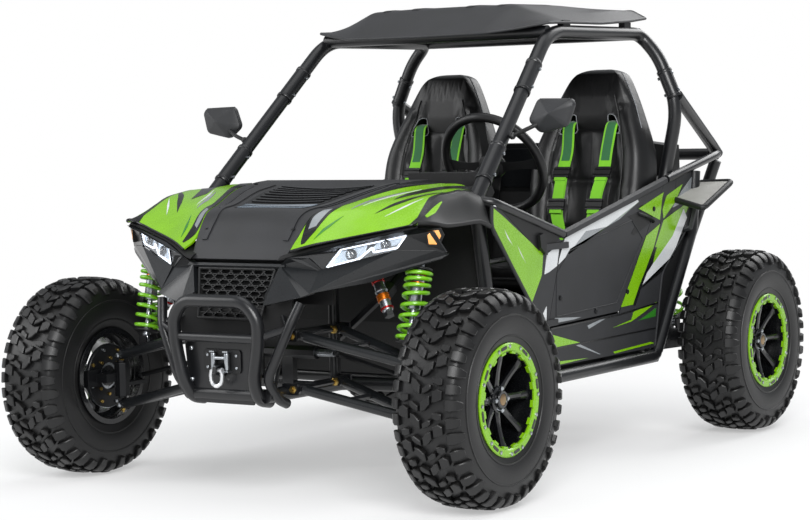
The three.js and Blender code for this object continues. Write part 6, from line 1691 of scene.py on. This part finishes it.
def buildSteeringWheel():
    centre, axis = np.array(wheelShape["centre"]), unit(wheelShape["towards"])
    side = np.array([1.0, 0, 0])
    up = np.cross(axis, side)
    rounds, sides = wheelShape["round"], wheelShape["sides"]
    a = np.linspace(0, 2 * math.pi, rounds, endpoint=False)
    # the rim: centre + radius outward + tube (cos b outward + sin b axis), b going round the tube,
    # whose radius swells a little at the four grips
    swell = wheelShape["tube"] * (1 + 0.06 * np.cos(4 * a) ** 8)
    radial = np.cos(a)[:, None] * side + np.sin(a)[:, None] * up
    b = np.linspace(0, 2 * math.pi, sides, endpoint=False)
    ring = np.cos(b)[None, :, None] * radial[:, None] + np.sin(b)[None, :, None] * axis
    grid = (centre + wheelShape["radius"] * radial)[:, None] + swell[:, None, None] * ring
    faces = gridFaces(rounds + 1, sides, True)
    faces = [[i % (rounds * sides) for i in face] for face in faces]
    parts = [((grid.reshape(-1, 3), faces), "sewnVinyl")]
    reach, wide, drop = lanes(*wheelShape["spoke"]).T[:, :, None]
    for angle in (0.0, math.pi, -math.pi / 2):
        way = math.cos(angle) * side + math.sin(angle) * up
        across, middle, thick = np.cross(axis, way), centre + reach * way + drop * axis, 0.004 * axis
        rings = np.stack([
            middle - wide * across - thick, middle + wide * across - thick,
            middle + wide * 0.7 * across + thick, middle - wide * 0.7 * across + thick,
        ], axis=1)
        parts.append((lofted(curved(rings, 5)), "mouldedBlack"))
    parts += [(turned(profile, centre, axis, count), look) for look, count, profile in wheelShape["turned"]]
    piece("steering_wheel_dressed", "steering_wheel", parts, ["steering_wheel"], bevel=0.0008)


buildSteeringWheel()


# Mirrors: a moulded head whose front bulges to a slanting crease, on a ball arm, with a silvered glass behind
mirrorShape = {
    "ring": mm(
        (587, -270, 1148), (620, -262, 1220), (745, -262, 1217), (757, -266, 1199), (733, -275, 1128),
        (634, -275, 1107)
    ),
    "ball": (0.5464, -0.319, 1.1005),
    "ballProfile": ((0, -0.0125), (0.009, -0.009), (0.0125, 0), (0.009, 0.009), (0, 0.0125)),
    "arm": 0.007,
    "shrink": (0.9, 0.975, 1.0, 1.0, 0.97, 0.88, 0.7, 0.46, 0.22, 0.04),
    "depth": (0.0, 0.0, 0.004, 0.014, 0.019, 0.022, 0.022, 0.022, 0.022, 0.022),
    "bulge": 0.028,
}


def buildMirror(side, turn):
    corners = mirrorShape["ring"]
    ring = curved(rounded(corners, 0.016, 6), 2)[:-1]
    middle = ring.mean(axis=0)
    # the crease runs from the arm's corner to the far top one; the bulge falls away from it on both sides:
    # depth = rim + bulge * (1 - shrink^1.5) * (1 - 3/4 of the share of the way from the crease)
    shrink, depth = (np.array(mirrorShape[key]) for key in ("shrink", "depth"))
    levels = middle + (ring - middle) * shrink[:, None, None]
    aside = np.abs((levels - middle) @ np.cross([0.83, 0, 0.55], [0, 1, 0]))
    front = (np.arange(len(shrink)) > 3)[:, None]
    bulge = mirrorShape["bulge"] * (1 - shrink[:, None] ** 1.5) * (1 - 0.75 * aside / aside.max())
    levels[..., 1] -= depth[:, None] + front * bulge
    ball = np.array(mirrorShape["ball"])
    arm = np.array([ball, ball + [0.045, 0.004, 0.018], middle - [0.045, 0.026, 0.03]])
    parts = [
        (lofted(levels), "mouldedCharcoal"),
        (turned(mirrorShape["ballProfile"], ball, (0.3, 0, 1), 20), "mouldedBlack"),
        (tube(curved(arm, 8), mirrorShape["arm"], 14), "mouldedBlack"),
    ]
    name = f"mirror_{side}"
    piece(name + "_dressed", name, parts, [name], angle=24, turn=turn)
    glass = middle + (ring - middle) * 0.9
    parts = [(slab(glass + [0, 0.0005, 0], (0, 0.0012, 0)), "silveredGlass")]
    piece(name + "_glass", name, parts, (), turn=turn)


bothSides(buildMirror)


# Front liners: a wall behind the grille and strips under the fenders' front edges hide the empty bay; these
# near-black sheets and blocks are painted shade for the dark inside it
def buildLiners():
    parts = [(block((-0.3, -0.99, 0.6), (0.3, -0.982, 0.748)), "rotoMouldedLinerPaintedShade")]
    half = [(0.18, 0.478), (0.232, 0.56), (0.232, 0.64), (0.165, 0.64), (0.15, 0.604)]
    parts.append((slab(frontOutline(-1.11, half), (0, 0.008, 0)), "rotoMouldedLinerPaintedShade"))
    brow = mm((170, -1096, 742), (206, -1086, 752), (334, -1008, 788), (530, -920, 828), (566, -924, 836))
    strip = skin(refined(np.stack([brow, brow + [0, 0.02, 0.012], brow + [0, 0.075, 0.02]]), 4), 0.003)
    behindDoor = block((0.556, -0.15, 0.436), (0.566, 0.345, 0.506))
    behindSill = block((0.556, -0.15, 0.3), (0.566, 0.58, 0.345))
    parts += twoSided([(part, "rotoMouldedLinerPaintedShade") for part in (strip, behindDoor, behindSill)])
    piece("front_painted_shade_liners", "chassis", parts, ())
    # the moulded cover behind the seats, drawn as its front outline in (x, z) and pushed back
    half = [(0.4, 0.872), (0.45, 0.915), (0.537, 0.95), (0.535, 1.046), (0.43, 1.06)]
    front = frontOutline(0.8, half)
    inset = front.mean(axis=0) + (front - front.mean(axis=0)) * [0.92, 1, 0.78]
    parts = [(slab(front, (0, 0.1, 0)), "mouldedBlack"), (slab(inset, (0, -0.006, 0)), "satinBlack")]
    piece("rear_cover", "chassis", parts, (), bevel=0.008)


buildLiners()


# Front hubs: the brake disc with its bright studs, and the tubes and bolts of the arms
hub = {
    "centre": (0.772, -0.915, 0.33),
    "disc": (
        (0.045, -0.002), (0.104, -0.002), (0.106, 0.0), (0.104, 0.002), (0.045, 0.002), (0.045, -0.002)
    ),
    "studs": 16,
    "stud": ((0, 0), (0.006, 0), (0.006, 0.005), (0, 0.006)),
    "studRings": (0.092, 0.06),
    "ballBolt": ((0, 0), (0.0085, 0), (0.0085, 0.006), (0.005, 0.008), (0.005, 0.012), (0, 0.012)),
    "pivotBolt": ((0, 0), (0.0135, 0), (0.0135, 0.007), (0.008, 0.009), (0.008, 0.014), (0, 0.014)),
    # each arm: the height of its pivots, and of its ball joint
    "arms": (("lower", 0.343, 0.237), ("upper", 0.508, 0.402)),
    "legTube": 0.0158,
}


def buildHub(side, turn):
    centre = np.array(hub["centre"])
    parts = [(turned(hub["disc"], centre - [0.09, 0, 0], (1, 0, 0), 72), "blackSteel")]
    for k in range(hub["studs"]):
        a, far = 2 * math.pi * k / hub["studs"] + 0.3, hub["studRings"][k % 2]
        spot = centre + [-0.0925, far * math.cos(a), far * math.sin(a)]
        parts.append((turned(hub["stud"], spot, (-1, 0, 0), 6), "yellowZinc" if k % 4 else "brightZinc"))
    piece(f"front_{side}_brake_disc", f"front_{side}_wheel", parts, (), bevel=0.0004, turn=turn)
    axle = centre[1]
    for arm, level, drop in hub["arms"]:
        parts = []
        for way in (-1, 1):
            y = axle + way * 0.11
            parts.append((turned(hub["pivotBolt"], (0.19, y - 0.03, level), (0, -1, 0), 6), "yellowZinc"))
            inner = (0.212, y - way * 0.0055, level - 0.0054)
            outer = (0.606, axle + way * 0.0055, drop + 0.0046)
            parts.append((tube([inner, outer], hub["legTube"], 18), "satinBlack"))
        parts.append((turned(hub["ballBolt"], (0.625, axle, drop - 0.014), (0, 0, -1), 6), "yellowZinc"))
        parts.append((turned(hub["ballBolt"], (0.625, axle - 0.017, drop), (0, -1, 0), 6), "brightZinc"))
        name = f"front_{side}_{arm}_arm"
        piece(name + "_bolts", name, parts, (), turn=turn)


bothSides(buildHub)


# The rest of the CAD pieces keep their shapes and get their finish and soft edges, whose width is in metres
plain = {
    "chassis_frame": ("powderCoatedTube", 0.0012),
    "front_fascia": ("satinBlack", 0.0028),
    # the tub's near-black finish is partly painted shade for the dark deep in the cockpit
    "cockpit_tub": ("rotoMouldedLinerPaintedShade", 0.002),
    "throttle_pedal": ("blackSteel", 0.001),
    "brake_pedal": ("blackSteel", 0.001),
    "power_unit": ("sandCast", 0.003),
    "rear_swing_arm": ("powderCoatedTube", 0.0015),
    "rear_axle": ("blackSteel", 0.001),
    "steering_rack": ("brightZinc", 0.0008),
}
for side in ("left", "right"):
    plain[f"side_panel_{side}"] = plain[f"door_{side}"] = ("mouldedCharcoal", 0.002)
    for part in ("lower_arm", "upper_arm"):
        plain[f"front_{side}_{part}"] = ("powderCoatedTube", 0.0012)
    for part in ("kingpin", "knuckle", "tie_rod"):
        plain[f"front_{side}_{part}"] = ("blackSteel", 0.0012)
for node, (look, bevel) in plain.items():
    dress(node, look, bevel)
print("steering wheel, mirrors and plain pieces made")


# Stage: a pale floor, soft lights, a world that the camera sees as white, and the camera at the photo's angle
stage = {
    "floor": {"reach": 60.0, "colour": "#f4f4f4", "fadeFrom": 1.1, "fadeTo": 3.4, "least": 0.42},
    "world": 0.42,
    "lights": {
        "keyLight": {"place": (4.8, -6.2, 5.0), "aim": (0.0, -0.3, 0.6), "size": 4.0, "watts": 640},
        "fillLight": {"place": (-6.0, -4.5, 4.0), "aim": (0.0, 0.0, 0.7), "size": 5.0, "watts": 260},
        "backLight": {"place": (1.0, 6.5, 5.5), "aim": (0.0, 0.3, 0.8), "size": 5.0, "watts": 330},
        "topLight": {"place": (0.0, 0.0, 7.0), "aim": (0.0, 0.0, 0.0), "size": 5.0, "watts": 90},
    },
}
camera = {
    "place": (4.186, -6.405, 1.163), "yaw": -33.757, "pitch": 3.688, "roll": -1.284, "lens": 97.24,
    "sensor": 36.0
}


def aimed(thing, place, aim):
    # stands a light at a place with its -Z axis towards the aim
    thing.location = place
    thing.rotation_euler = (Vector(aim) - Vector(place)).to_track_quat("-Z", "Y").to_euler()


def buildStage():
    look = stage["floor"]
    reach = look["reach"]
    mesh = bpy.data.meshes.new("floor")
    mesh.from_pydata(
        [(-reach, -reach, 0), (reach, -reach, 0), (reach, reach, 0), (-reach, reach, 0)], [], [(0, 1, 2, 3)]
    )
    floor = added("floor", mesh)
    paper = bpy.data.materials.new("paperSweep")
    paper.use_nodes = True
    tree = paper.node_tree
    shader = tree.nodes["Principled BSDF"]
    shader.inputs["Base Color"].default_value = linearColour(look["colour"])
    shader.inputs["Roughness"].default_value = 0.9
    # away from the kart the paper turns to pure white: the share rises with the distance from the middle
    place = addNode(tree, "ShaderNodeTexCoord").outputs["Object"]
    far = addNode(tree, "ShaderNodeVectorMath", {"operation": "LENGTH"}, {0: place}).outputs["Value"]
    share = addNode(
        tree,
        "ShaderNodeMapRange",
        {"interpolation_type": "SMOOTHSTEP"},
        {
            "Value": far, "From Min": look["fadeFrom"], "From Max": look["fadeTo"], "To Min": look["least"],
            "To Max": 1.0
        },
    )
    white = addNode(tree, "ShaderNodeEmission", inputs={"Color": (1, 1, 1, 1), "Strength": 1.0})
    both = addNode(
        tree, "ShaderNodeMixShader", inputs={0: share.outputs[0], 1: shader.outputs[0], 2: white.outputs[0]}
    )
    tree.links.new(both.outputs[0], tree.nodes["Material Output"].inputs["Surface"])
    mesh.materials.append(paper)
    for name, look in stage["lights"].items():
        lamp = bpy.data.lights.new(name, "AREA")
        lamp.energy, lamp.size = look["watts"], look["size"]
        holder = added(name, lamp)
        aimed(holder, look["place"], look["aim"])
    world = bpy.data.worlds.new("studio")
    bpy.context.scene.world = world
    world.use_nodes = True
    tree = world.node_tree
    tree.nodes.clear()
    path = addNode(tree, "ShaderNodeLightPath")
    seen = addNode(
        tree, "ShaderNodeMath", {"operation": "MAXIMUM"},
        {0: path.outputs["Is Camera Ray"], 1: path.outputs["Is Transmission Ray"]}
    )
    room = addNode(
        tree, "ShaderNodeBackground", inputs={"Color": linearColour("#e9edf2"), "Strength": stage["world"]}
    )
    white = addNode(tree, "ShaderNodeBackground", inputs={"Color": (1, 1, 1, 1), "Strength": 1.0})
    both = addNode(
        tree, "ShaderNodeMixShader", inputs={0: seen.outputs[0], 1: room.outputs[0], 2: white.outputs[0]}
    )
    addNode(tree, "ShaderNodeOutputWorld", inputs={"Surface": both.outputs[0]})


def buildCamera():
    # forward = (sin yaw cos pitch, cos yaw cos pitch, -sin pitch); the roll turns right and up about it
    yaw, pitch, roll = (math.radians(camera[key]) for key in ("yaw", "pitch", "roll"))
    forward = np.array([math.sin(yaw) * math.cos(pitch), math.cos(yaw) * math.cos(pitch), -math.sin(pitch)])
    right = np.array([math.cos(yaw), -math.sin(yaw), 0])
    up = np.cross(right, forward)
    turnedRight = right * math.cos(roll) + up * math.sin(roll)
    turnedUp = up * math.cos(roll) - right * math.sin(roll)
    lens = bpy.data.cameras.new("camera")
    lens.lens, lens.sensor_width, lens.clip_end = camera["lens"], camera["sensor"], 200
    holder = added("camera", lens)
    grid = np.eye(4)
    grid[:3, 0], grid[:3, 1], grid[:3, 2], grid[:3, 3] = turnedRight, turnedUp, -forward, camera["place"]
    holder.matrix_world = Matrix(grid.tolist())
    bpy.context.scene.camera = holder


buildStage()
buildCamera()
bpy.context.scene.view_settings.view_transform = "Standard"
print("stage made")
